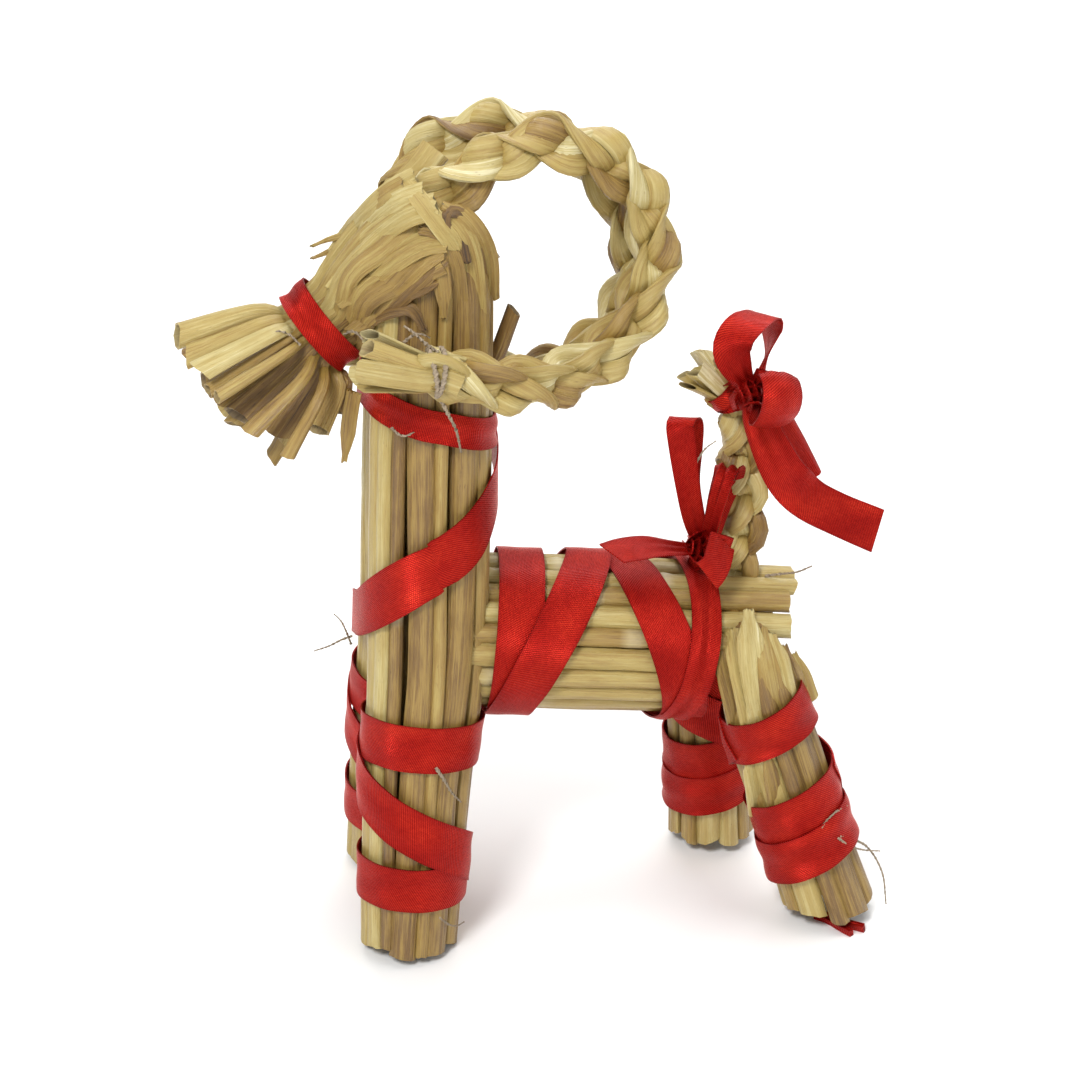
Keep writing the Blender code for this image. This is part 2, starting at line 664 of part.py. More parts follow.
def front_straws(left, right, head, rng):
    shells = []
    for spine in (left, right):
        count = straw_count(FRONT_LEG_RADIUS, FRONT_LEG_RADIUS)
        shells.append(packed_straws(spine, front_stations(spine), count, rng))
    tie = head.length - MUZZLE_LENGTH
    count = straw_count(MUZZLE_TIE_RADIUS * 1.2, MUZZLE_TIE_RADIUS * 1.2)
    tied = tie + MUZZLE_RIBBON_WIDTH * 0.6
    reach = [0, tie * 0.45, tie - MUZZLE_RIBBON_WIDTH * 0.6, tied, tied + STRAW_DIAMETER]
    shells.append(packed_straws(head, reach, count, rng))
    for share, number in ((1, count), (0.4, count // 2)):
        for i in range(number):
            angle = 2 * math.pi * (i + 0.2 * rng.random()) / number
            end = head.length - rng.uniform(-0.2, 1) * STRAW_DIAMETER
            shells.append(straw(head, tied, end, angle, share, 1))
    return shells


def body_straws(body, hind, tail, rng):
    """Straight straws that stop where they meet the hind bundle, or run over it and under it."""
    stop = crown_top(body)[0] - CROWN_HALF_LENGTH - body.rows[0][0]
    outer = straw_count(BODY_RADIUS, BODY_RADIUS)
    shells = [packed_straws(body, [0, stop], outer, rng)]
    for share, count in ((1, outer), (0.5, outer // 3)):
        for i in range(count):
            angle = 2 * math.pi * (i + 0.2 * rng.random()) / count
            end = body.length - rng.uniform(0, STRAW_DIAMETER)
            for s in np.arange(stop - 2 * STRAW_DIAMETER, end, STRAW_DIAMETER / 4):
                point = body.point(s, angle, -STRAW_DIAMETER / 2, share)
                if is_inside(hind, point, STRAW_DIAMETER / 4) or is_inside(tail, point, 0):
                    end = s
                    break
            start = stop - STRAW_DIAMETER / 2
            if end > start + STRAW_DIAMETER:
                shells.append(straw(body, start, end, angle, share, 1))
    return shells


def hind_straws(hind, rng):
    count = straw_count(HIND_LEG_RADIUS, HIND_LEG_RADIUS)
    return [packed_straws(hind, hind_stations(hind), count, rng)]


def loop(knot, tip, gap, across):
    """A bow's loop: a ribbon from the knot out to its tip and back, open by the gap."""
    knot, tip = Vector(knot), Vector(tip)
    reach = tip - knot
    out = Vector(across).cross(reach).normalized() * gap / 2
    half = [(0, 0.2, GATHER), (0.4, 1, 0.85), (0.86, 0.95, 1), (1, 0.5, 1)]
    points = [knot + reach * along + out * aside for along, aside, _ in half]
    points += [knot + reach * along - out * aside for along, aside, _ in reversed(half)]
    shares = [share for _, _, share in half]
    return strap(points, [across] * len(points), shares + shares[::-1])


def neck_ribbon(neck):
    height = NECK_HEIGHT - COLLAR_DROP
    collar = ring_route(height, COLLAR_TILT, math.pi)
    start_drop, end_drop = DIAGONAL_DROPS
    begin, end = height - start_drop, LEG_SPLIT_HEIGHT - end_drop
    diagonal = helix_route(begin, end, *DIAGONAL_ANGLES, 12)
    start, _ = DIAGONAL_ANGLES
    join = helix_route(height, begin, start + math.pi / 2, start, 5)
    return [band(neck, collar, 0, True, COLLAR_WIDTH), band(neck, join[:-1] + diagonal, 1)]


def leg_ribbon(spine, heights, tilt, spiral):
    """Turns round a leg, and the slanting stretch that joins the upper two of them."""
    shells = []
    for i, height in enumerate(heights):
        layer = 0 if i >= len(heights) - 2 else 1
        shells.append(band(spine, ring_route(height, tilt, 0, i, LEG_FACETS), layer, True))
    first, last = spiral
    count = round(abs(last - first) / (2 * math.pi) * LEG_FACETS)
    inset = (heights[-1] - heights[-2]) * SPIRAL_INSET
    shells.append(band(spine, helix_route(heights[-1] - inset, heights[-2] + inset, first, last, count), 1))
    return shells


def body_ribbon(body):
    shells = []
    turns = list(BODY_FRONT_TURNS) + [(body.length - back, tilt) for back, tilt in BODY_REAR_TURNS]
    for i, ((s, tilt), lead, share) in enumerate(zip(turns, BODY_TURN_LEADS, BODY_TURN_SHARES)):
        route = ring_route(s, tilt, lead, i)
        shells.append(band(body, route, i % 2, True, RIBBON_WIDTH * share))
    top = math.pi / 2
    at_top = s + tilt * math.cos(top - lead)
    knot = Vector(body.point(at_top, top, RIBBON_THICKNESS + KNOT_RADIUS))
    back = Vector(BACK_LOOP_AIM) * BACK_LOOP_HEIGHT
    small = Vector(BACK_SMALL_LOOP_AIM) * BACK_SMALL_LOOP_HEIGHT
    end = Vector(BACK_END_AIM) * BACK_RIBBON_END
    bend = knot + end * 0.5 + Vector((0, 0, BACK_RIBBON_END * 0.1))
    shells += [
        lump(knot, KNOT_RADIUS),
        loop(knot, knot + back, LOOP_GAP, (0.35, 1, 0)),
        loop(knot, knot + small, LOOP_GAP, (0.5, 0.85, 0)),
        strap([knot, bend, knot + end], [(1, 0, 0)] * 3, BACK_END_SHARES),
    ]
    return shells


def tail_ribbon(tail):
    tie = tail.length - TAIL_TIP_LENGTH - TAIL_RIBBON_WIDTH / 2
    turn = band(tail, ring_route(tie, 0), 0, True, TAIL_RIBBON_WIDTH)
    knot = Vector(tail.point(tie, TAIL_KNOT_ANGLE, CLEARANCE + RIBBON_THICKNESS + 0.8 * KNOT_RADIUS))
    up = Vector(TAIL_LOOP_AIM) * TAIL_LOOP_HEIGHT
    small = Vector(TAIL_SMALL_LOOP_AIM) * TAIL_SMALL_LOOP_LENGTH
    back, down = TAIL_RIBBON_END
    shells = [
        turn,
        lump(knot, KNOT_RADIUS),
        loop(knot, knot + up, LOOP_GAP, (0.7, 0.7, 0)),
        loop(knot, knot + small, LOOP_GAP, (0, 0, 1)),
    ]
    for share, shift in ((1, -TAIL_END_SPREAD), (0.9, TAIL_END_SPREAD)):
        middle = knot + Vector((back * 0.36 * share, shift * 0.8, -down * 0.5 * share))
        tip = knot + Vector((back * share, shift, -down * share))
        across = [(0.3, 0.9, 0.3), (0.45, 0.5, 0.7), (0.3, 0.2, 0.9)]
        shells.append(strap([knot, middle, tip], across, (GATHER, 1, 1), 2))
    return shells


def twine(horn, side):
    """Twine with two turns round a horn's tie and two loose ends on the outer side."""
    half = TWINE_DIAMETER / 2
    tie = horn.length - HORN_TIP_LENGTH - 1.5 * TWINE_DIAMETER
    first = 0 if side > 0 else math.pi
    path, outs = [], []
    for i in range(TWINE_STEPS * TWINE_TURNS + 1):
        angle = first + 2 * math.pi * i / TWINE_STEPS
        s = tie + (i / TWINE_STEPS - TWINE_TURNS / 2) * 1.1 * TWINE_DIAMETER
        path.append(horn.point(s, angle, 2 * CLEARANCE + half, 1 / math.cos(math.pi / TWINE_STEPS)))
        outs.append(horn.outward(s, angle))
    out = np.array((0, side, 0))
    ends = [np.array((-0.5, side * 0.25, 0.8)), np.array((0.55, side * 0.2, -0.8))]
    path = [path[0] + ends[0] * TWINE_END, path[0] + out * half] + path
    path += [path[-1] + out * half, path[-1] + ends[1] * TWINE_END]
    outs = [outs[0]] * 2 + outs + [outs[-1]] * 2
    return [tube(path, outs, [half] * len(path), [half] * len(path), 4)]


def main():
    clear_scene()
    rng = random.Random(7)
    straw_look = material("straw", STRAW_COLOUR, 0.55)
    red = material("red satin", RIBBON_COLOUR, 0.35)
    hemp = material("twine", TWINE_COLOUR, 0.85)
    left = front_half(-1, LEFT_FRONT_FOOT_SPREAD)
    right = front_half(1, RIGHT_FRONT_FOOT_SPREAD)
    neck, head, body = whole_neck(left, right), head_spine(), body_spine()
    hind, tail = hind_spine(body), tail_spine(body)
    horns = {
        "left": horn_spine(-1, LEFT_RING, LEFT_ROOT, neck),
        "right": horn_spine(1, RIGHT_RING, RIGHT_ROOT, neck),
    }
    ground = ground_block()
    lower, below_split = FRONT_LEG_TURNS
    front_turns = [lower, LEG_SPLIT_HEIGHT - below_split]
    left_turns = [*HIND_LEG_TURNS, hind.length / 2 - HIND_TOP_TURN]
    right_turns = [hind.length - turn for turn in left_turns]
    front_room = [envelope(spine, front_stations(spine), CLEARANCE) for spine in (left, right)]
    head_room = envelope(head, np.linspace(-HORN_ROOT_DEPTH / 5, head.length * 0.7, 5), CLEARANCE)
    body_room = front_room + [envelope(hind, hind_stations(hind), CLEARANCE)]
    body_room.append(envelope(tail, np.linspace(-CLEARANCE, TAIL_HEIGHT, 4), 2 * CLEARANCE, 8))
    body_room += [ribbon_room(left, front_turns[-1]), ribbon_room(right, front_turns[-1])]
    body_room += [ribbon_room(hind, left_turns[-1]), ribbon_room(hind, right_turns[-1])]
    fuse("front_bundle", front_straws(left, right, head, rng), straw_look, [ground])
    fuse("body_bundle", body_straws(body, hind, tail, rng), straw_look, body_room)
    fuse("hind_bundle", hind_straws(hind, rng), straw_look, [ground])
    tie = tail.length - TAIL_TIP_LENGTH
    strands = braid(tail, 0, tie + STRAW_DIAMETER, TAIL_PERIOD, 14)
    fuse("tail", [strands] + tuft(tail, tie, rng), straw_look)
    for name, horn in horns.items():
        tie = horn.length - HORN_TIP_LENGTH
        strands = braid(horn, 0, tie + STRAW_DIAMETER, BRAID_PERIOD, 36)
        fuse(name + "_horn", [strands] + tuft(horn, tie, rng), straw_look, [head_room] + front_room)
    tie = ring_route(head.length - MUZZLE_LENGTH, 0)
    fuse("muzzle_ribbon", [band(head, tie, 0, True, MUZZLE_RIBBON_WIDTH)], red)
    fuse("neck_ribbon", neck_ribbon(neck), red)
    for name, spine in (("left", left), ("right", right)):
        shells = leg_ribbon(spine, front_turns, FRONT_LEG_TILT, FRONT_LEG_SPIRAL)
        fuse(name + "_front_leg_ribbon", shells, red)
    for name, turns, tilt in (("left", left_turns, HIND_LEG_TILT), ("right", right_turns, -HIND_LEG_TILT)):
        fuse(name + "_hind_leg_ribbon", leg_ribbon(hind, turns, tilt, HIND_LEG_SPIRAL), red)
    fuse("body_ribbon", body_ribbon(body), red)
    fuse("tail_ribbon", tail_ribbon(tail), red)
    for name, horn in horns.items():
        fuse(name + "_horn_twine", twine(horn, math.copysign(1, horn.rows[0][1])), hemp)


main()
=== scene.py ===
"""The looks of the straw goat: each straw, braid, ribbon and thread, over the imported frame.

Lengths are in metres, apart from places that are read off the photograph: those are its pixels and a
depth y in millimetres. The goat faces -X and its left side is at -Y.
"""

import math
import random

import bpy
import numpy as np
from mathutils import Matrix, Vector


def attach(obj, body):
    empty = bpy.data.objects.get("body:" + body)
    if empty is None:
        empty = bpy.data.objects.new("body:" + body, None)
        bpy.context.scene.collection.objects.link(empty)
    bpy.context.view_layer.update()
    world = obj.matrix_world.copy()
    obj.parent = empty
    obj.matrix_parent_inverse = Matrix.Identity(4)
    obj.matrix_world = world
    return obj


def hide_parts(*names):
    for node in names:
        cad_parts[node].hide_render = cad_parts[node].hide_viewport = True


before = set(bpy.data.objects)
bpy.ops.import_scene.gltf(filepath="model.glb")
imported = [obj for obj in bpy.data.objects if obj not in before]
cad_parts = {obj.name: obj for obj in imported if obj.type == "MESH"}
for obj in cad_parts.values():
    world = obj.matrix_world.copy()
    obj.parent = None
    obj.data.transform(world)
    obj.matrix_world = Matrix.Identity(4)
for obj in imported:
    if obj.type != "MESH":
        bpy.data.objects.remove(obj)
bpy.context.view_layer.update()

MM = 0.001

# The camera stands where the photographer stood: slightly in front of the goat and above it.
CAMERA_AZIMUTH = math.radians(-9)
CAMERA_ELEVATION = math.radians(22)
CAMERA_DISTANCE = 0.450
CAMERA_TARGET = np.array((0, -0.0045, 0.085))
LENS = 73.17
SENSOR = 36.0
PHOTO_SIZE = 1080

BACK = np.array(
    (
        math.sin(CAMERA_AZIMUTH) * math.cos(CAMERA_ELEVATION),
        -math.cos(CAMERA_AZIMUTH) * math.cos(CAMERA_ELEVATION),
        math.sin(CAMERA_ELEVATION),
    )
)
CAMERA_PLACE = CAMERA_TARGET + BACK * CAMERA_DISTANCE
CAMERA_RIGHT = np.array((math.cos(CAMERA_AZIMUTH), math.sin(CAMERA_AZIMUTH), 0))
CAMERA_UP = np.cross(BACK, CAMERA_RIGHT)

# Sizes of part.py
RIBBON_WIDTH = 0.0095
RIBBON_THICKNESS = 0.0006
RIBBON_LAYER = 0.00045
TWINE_DIAMETER = 0.0011
CLEARANCE = 0.0004
NECK_HEIGHT = 0.1550
NECK_LEAN = 0.0100
FRONT_FOOT_X = -0.0304
FRONT_LEG_RADIUS = 0.0112
FRONT_FOOT_RADIUS = 0.0102
LEG_SPLIT_HEIGHT = 0.0665
NECK_HALF_WIDTH = 0.0095
NECK_HALF_DEPTH = 0.0122
NECK_HALF_SPREAD = 0.0078
SPLIT_HALF_SPREAD = 0.0100
BRAID_RADIUS = 0.0046
BODY_RADIUS = 0.0164
BODY_FRONT_X = -0.0220
BODY_FRONT_Z = 0.0650
BODY_LENGTH = 0.0755
BODY_FALL = 0.0080
CROWN_X = 0.0385
CROWN_DEPTH = 0.0105
CROWN_HALF_HEIGHT = 0.0052
CROWN_HALF_LENGTH = 0.0075
HIND_LEG_RADIUS = 0.0093
HIND_FOOT_RADIUS = 0.0098
HIND_SHOULDER_SPREAD = 0.0120
MUZZLE_TIE_RADIUS = 0.0084
MUZZLE_LENGTH = 0.0255  # from its tie to its open end
HORN_ROOT_DEPTH = 0.0110
HORN_TUFT_LENGTH = 0.0125
TAIL_RADIUS = 0.0048
TAIL_TIE_X = 0.0397
TAIL_TIE_Z = 0.1127
TAIL_TIE_WIDTH = 0.0055
TAIL_TUFT_LENGTH = 0.0080
COLLAR_HEIGHT = 0.1155

# The way that the near side of the head and of the legs faces
NEAR_SIDE = (-0.1, -0.75, 0.45)
ACROSS = 13  # points across a ribbon
LEAF_POINTS = 9
STRAW_SIDES = 12


def seen(u, v, y):
    """The point at depth y, in millimetres, that the photograph shows at its pixel (u, v)."""
    focal = LENS / SENSOR * PHOTO_SIZE
    half = PHOTO_SIZE / 2
    ray = -BACK + CAMERA_RIGHT * (u - half) / focal + CAMERA_UP * (half - v) / focal
    return CAMERA_PLACE + ray * (y * MM - CAMERA_PLACE[1]) / ray[1]


def unit(rows):
    rows = np.asarray(rows, float)
    return rows / np.maximum(np.linalg.norm(rows, axis=-1, keepdims=True), 1e-12)


def smooth(rows, step):
    """Rows of numbers on a smooth curve through the given rows, about one every step of length."""
    rows = np.array(rows, float)
    ends = np.vstack([2 * rows[0] - rows[1], rows, 2 * rows[-1] - rows[-2]])
    made = []
    for before, start, end, after in zip(ends, ends[1:], ends[2:], ends[3:]):
        count = max(2, round(float(np.linalg.norm((end - start)[:3])) / step))
        t = (np.arange(count) / count)[:, None]
        bend = before - 2.5 * start + 2 * end - 0.5 * after
        made.append(
            start + t * 0.5 * (end - before) + t**2 * bend + t**3 * 0.5 * (after - before + 3 * (start - end))
        )
    made.append(rows[-1:])
    return np.vstack(made)


class Spine:
    """A smooth line through stations (x, y, z, half width, half height), read by distance along it."""

    def __init__(self, stations, side, squareness=1.0):
        self.rows = smooth(stations, 0.0006)
        self.reach = distances(self.rows[:, :3])
        self.length = self.reach[-1]
        self.side = np.array(side, float)
        self.squareness = squareness

    def row(self, s):
        return np.array([np.interp(s, self.reach, column) for column in self.rows.T]).T

    def frame(self, s):
        """(centre, direction, side, up, half width, half height) at distances along the spine."""
        s = np.atleast_1d(np.asarray(s, float))
        inside = np.clip(s, 0, self.length)
        ahead = self.row(np.minimum(inside + 0.0009, self.length)) - self.row(np.maximum(inside - 0.0009, 0))
        ahead = unit(ahead[:, :3])
        side = unit(self.side - ahead * (ahead @ self.side)[:, None])
        row = self.row(inside)
        centre = row[:, :3] + ahead * (s - inside)[:, None]
        return centre, ahead, side, np.cross(ahead, side), row[:, 3], row[:, 4]

    def point(self, s, angle, lift=0.0, share=1.0):
        """Points of the outline at angles, moved out by lift and in by the share of its size."""
        centre, _, side, up, wide, high = self.frame(s)
        across, over = np.cos(angle), np.sin(angle)
        across = np.copysign(np.abs(across) ** self.squareness, across)
        over = np.copysign(np.abs(over) ** self.squareness, over)
        along_side = ((wide * share + lift) * across)[:, None]
        along_up = ((high * share + lift) * over)[:, None]
        return centre + side * along_side + up * along_up

    def outward(self, s, angle):
        _, _, side, up, wide, high = self.frame(s)
        return unit(side * (np.cos(angle) * high)[:, None] + up * (np.sin(angle) * wide)[:, None])


class Piece:
    """One object, gathered from many closed shells with their marks for the materials."""

    def __init__(self, name, look, slot, nodes=()):
        self.name, self.look, self.slot, self.nodes = name, look, slot, nodes
        self.points, self.faces, self.lay, self.tint = [], [], [], []
        self.count = 0

    def add(self, points, faces, lay, tint):
        points = np.array(points, float).reshape(-1, 3)
        # The table presses the cut ends level
        points[:, 2] = np.maximum(points[:, 2], 0)
        self.points.append(points)
        self.faces += [tuple(int(i) + self.count for i in face) for face in faces]
        self.lay.append(np.asarray(lay, float).reshape(-1, 3))
        self.tint.append(np.asarray(tint, float).reshape(-1, 3))
        self.count += len(points)

    def finish(self):
        mesh = bpy.data.meshes.new(self.name)
        mesh.from_pydata(np.vstack(self.points).tolist(), [], self.faces)
        for name, rows in (("lay", self.lay), ("tint", self.tint)):
            layer = mesh.attributes.new(name, "FLOAT_VECTOR", "POINT")
            layer.data.foreach_set("vector", np.vstack(rows).astype(np.float32).ravel())
        mesh.shade_smooth()
        mesh.set_sharp_from_angle(angle=math.radians(50))
        mesh.materials.append(self.look)
        made = bpy.data.objects.new(self.name, mesh)
        bpy.context.scene.collection.objects.link(made)
        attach(made, "root")
        if self.nodes:
            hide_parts(*self.nodes)
        return made


def ring_faces(rings, sides):
    faces = [tuple(range(sides - 1, -1, -1))]
    for i in range(rings - 1):
        for k in range(sides):
            a, b = i * sides + k, i * sides + (k + 1) % sides
            faces.append((a, b, b + sides, a + sides))
    last = (rings - 1) * sides
    return faces + [tuple(range(last, last + sides))]


def distances(path):
    """The distance along a path of each of its points."""
    return np.concatenate([[0], np.cumsum(np.linalg.norm(np.diff(path, axis=0), axis=1))])


def axes(path, ups):
    """Unit vectors along a path, across it and out of it."""
    ahead = unit(np.gradient(path, axis=0))
    up = unit(ups - ahead * np.sum(ups * ahead, axis=1, keepdims=True))
    return ahead, np.cross(up, ahead), up


def straw(
    piece, path, ups, width, rng, flat=0.85, tone=0.5, joints=(), dent=0.0, cut=0.25, ends=(1, 1), taper=0.0,
):
    """One straw along a path: hollow at its cut ends, with joints, a long dent and uneven sides; the inside
    of the hollow ends is painted near-black as painted shade.

    Its width lies across ups, and flat is its thickness as a share of it.
    """
    path, ups = np.asarray(path, float), np.asarray(ups, float)
    ahead, side, up = axes(path, ups)
    along = distances(path)
    length = along[-1]
    angles = 2 * math.pi * (np.arange(STRAW_SIDES) + 0.5) / STRAW_SIDES
    phase = [rng.uniform(0, 2 * math.pi) for _ in range(6)]
    long_wave, short_wave = np.sin(along / 0.0085 + phase[0]), np.sin(along / 0.0031 + phase[1])
    radius = width / 2 * (1 + 0.035 * long_wave + 0.02 * short_wave)
    pale = np.zeros(len(path))
    for joint in joints:
        away = (along - joint * length) / 0.0011
        radius = radius * (1 + 0.15 * np.exp(-(away**2)) - 0.07 * np.exp(-((np.abs(away) - 2.0) ** 2)))
        pale = pale + np.exp(-((away / 1.15) ** 2))
    if taper:
        radius = radius * (1 - taper * along / length)
    ridge = 1 + 0.03 * np.cos(3 * angles + phase[2]) + 0.022 * np.cos(6 * angles + phase[3])
    off = (angles - phase[4] + math.pi) % (2 * math.pi) - math.pi
    depth = dent * (0.6 + 0.4 * np.sin(along / 0.011 + phase[5]))[:, None]
    reach = radius[:, None] * ridge * (1 - depth * np.exp(-((off / 0.42) ** 2)))
    across, over = reach * np.cos(angles), reach * np.sin(angles) * flat

    def ring(i, scale, inward, slanted):
        slant = 0.0
        if slanted:
            slant = cut * width / 2 * np.cos(angles - slanted) + ragged
            slant = slant[:, None] * ahead[i]
        spot = path[i] + ahead[i] * inward + slant
        return spot + side[i] * (across[i] * scale)[:, None] + up[i] * (over[i] * scale)[:, None]

    rings, longs, pales, hollow_shades = [], [], [], []
    hole = min(0.003, length * 0.3)
    ragged = np.array([rng.uniform(-0.00018, 0.00018) for _ in range(STRAW_SIDES)])
    slants = rng.uniform(0.1, 6.2), rng.uniform(0.1, 6.2)
    # Painted shade: at each cut end the inner ring and its cap are marked 1 and the cut rim 0.25, so the
    # material paints the inside of the tube near-black and the rim a little darker.
    if ends[0]:
        rings += [ring(0, 0.70, hole, 0), ring(0, 0.80, 0, slants[0])]
        longs += [along[0] + hole, along[0]]
        pales += [0, 0.3]
        hollow_shades += [1, 0.25]
    for i in range(len(path)):
        slanted = slants[0] if i == 0 and ends[0] else slants[1] if i == len(path) - 1 and ends[1] else 0
        rings.append(ring(i, 1, 0, slanted))
        longs.append(along[i])
        pales.append(pale[i])
        hollow_shades.append(0)
    if ends[1]:
        rings += [ring(-1, 0.80, 0, slants[1]), ring(-1, 0.70, -hole, 0)]
        longs += [along[-1], along[-1] - hole]
        pales += [0.3, 0]
        hollow_shades += [0.25, 1]
    seed = rng.uniform(0, 900)
    lay = np.zeros((len(rings), STRAW_SIDES, 3))
    lay[:, :, 0] = width / 2 / MM * np.cos(angles)
    lay[:, :, 1] = width / 2 / MM * np.sin(angles)
    lay[:, :, 2] = (np.array(longs) / MM + seed)[:, None]
    tint = np.zeros((len(rings), STRAW_SIDES, 3))
    # The third channel is the painted shade inside the hollow ends; the first two are the straw's own tone
    # and pale joints.
    tint[:, :, 0] = tone
    tint[:, :, 1] = np.array(pales)[:, None]
    tint[:, :, 2] = np.array(hollow_shades)[:, None]
    piece.add(np.vstack(rings), ring_faces(len(rings), STRAW_SIDES), lay, tint)


def flat_strip(piece, sections, normals, thickness, lay, tint):
    """A thin strip from rows of points on its upper side, given its thickness along the normals."""
    rows, across = sections.shape[:2]
    under = (sections - normals * thickness)[:, ::-1]
    points = np.concatenate([sections, under], axis=1)
    both = np.concatenate([lay, lay[:, ::-1]], axis=1)
    tints = np.concatenate([tint, tint[:, ::-1]], axis=1)
    piece.add(points, [face[::-1] for face in ring_faces(rows, 2 * across)], both, tints)


def leaf(piece, path, ups, width, rng, tone, tip, arch):
    """A flat leaf or a split straw along a path, arched across, with a torn or pointed tip."""
    path, ups = np.asarray(path, float), np.asarray(ups, float)
    ahead, side, up = axes(path, ups)
    along = distances(path)
    share = along / along[-1]
    u = np.linspace(-1, 1, LEAF_POINTS)
    half = width / 2 * (1 + 0.05 * np.sin(along / 0.004 + rng.uniform(0, 6)))
    half = half * np.clip((1 - share) / tip, 0.22, 1) ** 0.6
    pleat = 0.05 * np.cos(5 * u + rng.uniform(0, 6)) + 0.04 * np.cos(9 * u + rng.uniform(0, 6))
    rise = half[:, None] * (arch * (1 - u**2) + pleat)
    wide = half[:, None] * u
    ragged = np.zeros((len(path), LEAF_POINTS))
    ragged[0] = [rng.uniform(-0.0004, 0.0004) for _ in u]
    ragged[-1] = [rng.uniform(-0.0005, 0.0005) for _ in u]
    sections = (
        path[:, None]
        + side[:, None] * wide[..., None]
        + up[:, None] * rise[..., None]
        + ahead[:, None] * ragged[..., None]
    )
    normals = np.repeat(up[:, None], LEAF_POINTS, axis=1)
    lay = np.zeros(sections.shape)
    lay[..., 0] = wide / MM * 1.6
    lay[..., 1] = rise / MM
    lay[..., 2] = (along / MM + rng.uniform(0, 900))[:, None]
    tint = np.zeros(sections.shape)
    tint[..., 0] = tone
    flat_strip(piece, sections, normals, 0.00035, lay, tint)


def ribbon_surface(piece, sections, normals, half, along, rng, thickness=0.00034):
    """A woven ribbon from rows of points on its outer side; along and half its width lay the weave."""
    u = np.linspace(-1, 1, sections.shape[1])
    lay = np.zeros(sections.shape)
    lay[..., 0] = half / MM * u
    lay[..., 1] = along[:, None] / MM + rng.uniform(0, 400)
    lay[..., 2] = u
    tint = np.zeros(sections.shape)
    tint[..., 0] = rng.uniform(0.35, 0.65)
    edge = 0.00010 * np.exp(-(((np.abs(u) - 0.95) / 0.05) ** 2))
    flat_strip(piece, sections + normals * edge[:, None], normals, thickness, lay, tint)


def band(piece, spine, route, rng, layer=0.0, width=RIBBON_WIDTH, closed=False, fold=0.0):
    """A ribbon that lies on a bundle, along a route of (distance, angle)."""
    route = np.array(route, float)
    if closed:
        route = np.vstack([route, route[:1] + (0, math.copysign(2 * math.pi, route[1][1] - route[0][1]))])
    fine = [route[0]]
    for start, end in zip(route, route[1:]):
        count = max(1, math.ceil(abs(end[1] - start[1]) / math.radians(7)))
        fine += [start + (end - start) * (i + 1) / count for i in range(count)]
    fine = np.array(fine)
    kernel = np.array((1, 2, 3, 2, 1)) / 9
    if len(fine) > 8:
        if closed:
            wrapped = np.concatenate([fine[-3:-1, 0], fine[:, 0], fine[1:3, 0]])
            fine[:, 0] = np.convolve(wrapped, kernel, "valid")
        else:
            fine[2:-2, 0] = np.convolve(fine[:, 0], kernel, "valid")
    s, angle = fine.T
    step = 0.01
    apart = spine.point(s, angle + step) - spine.point(s, angle - step)
    around = np.linalg.norm(apart, axis=1) / (2 * step)
    travel_s, travel_a = np.gradient(s), np.gradient(angle) * around
    size = np.hypot(travel_s, travel_a)
    cross_s, cross_a = travel_a / size, -travel_s / size
    along = np.concatenate([[0], np.cumsum((size[1:] + size[:-1]) / 2)])
    low = CLEARANCE + layer * RIBBON_LAYER + RIBBON_THICKNESS
    phase = rng.uniform(0, 6)
    u = np.linspace(-1, 1, ACROSS)
    sections, normals = np.zeros((len(s), ACROSS, 3)), np.zeros((len(s), ACROSS, 3))
    for k, share in enumerate(u):
        at_s = s + cross_s * share * width / 2
        at_angle = angle + cross_a * share * width / 2 / np.maximum(around, 0.004)
        crease = 0.00012 * fold * math.cos(4.4 * share + phase)
        wave = 0.00007 * np.sin(angle * 9 + phase + share * 0.7) + crease
        sections[:, k] = spine.point(at_s, at_angle)
        normals[:, k] = spine.outward(at_s, at_angle)
        sections[:, k] += normals[:, k] * (low + wave)[:, None]
    if closed:
        middle = (sections[0] + sections[-1]) / 2
        sections[0] = sections[-1] = middle
        normals[0] = normals[-1] = unit(normals[0] + normals[-1])
    ribbon_surface(piece, sections, normals, width / 2, along, rng)


def strap(piece, rows, rng, width=RIBBON_WIDTH, pleats=0.5, bend=0.0):
    """A free length of ribbon through rows of (point, outward direction, share of the width left open)."""
    stations = [(*point, *out, share) for point, out, share in rows]
    path = smooth(stations, 0.0012)
    centre, outs, share = path[:, :3], path[:, 3:6], np.clip(path[:, 6], 0.1, 1.05)
    _, side, up = axes(centre, outs)
    along = distances(centre)
    u = np.linspace(-1, 1, ACROSS)
    gathered = (1 - share)[:, None] * pleats * width * 0.30
    phase = rng.uniform(0, 6)
    rise = gathered * np.cos(2.5 * math.pi * u + phase) + bend * width * (1 - u**2) * np.ones_like(gathered)
    rise = rise + 0.00012 * np.sin(along / 0.0030 + phase)[:, None] * u
    wide = (width / 2 * share)[:, None] * u
    sections = centre[:, None] + side[:, None] * wide[..., None] + up[:, None] * rise[..., None]
    slope = np.gradient(rise, axis=1) / np.maximum(np.gradient(wide, axis=1), 1e-6)
    slope = np.clip(slope, -3, 3)
    normals = unit(up[:, None] - side[:, None] * slope[..., None])
    ribbon_surface(piece, sections, normals, width / 2, along, rng, 0.00030)


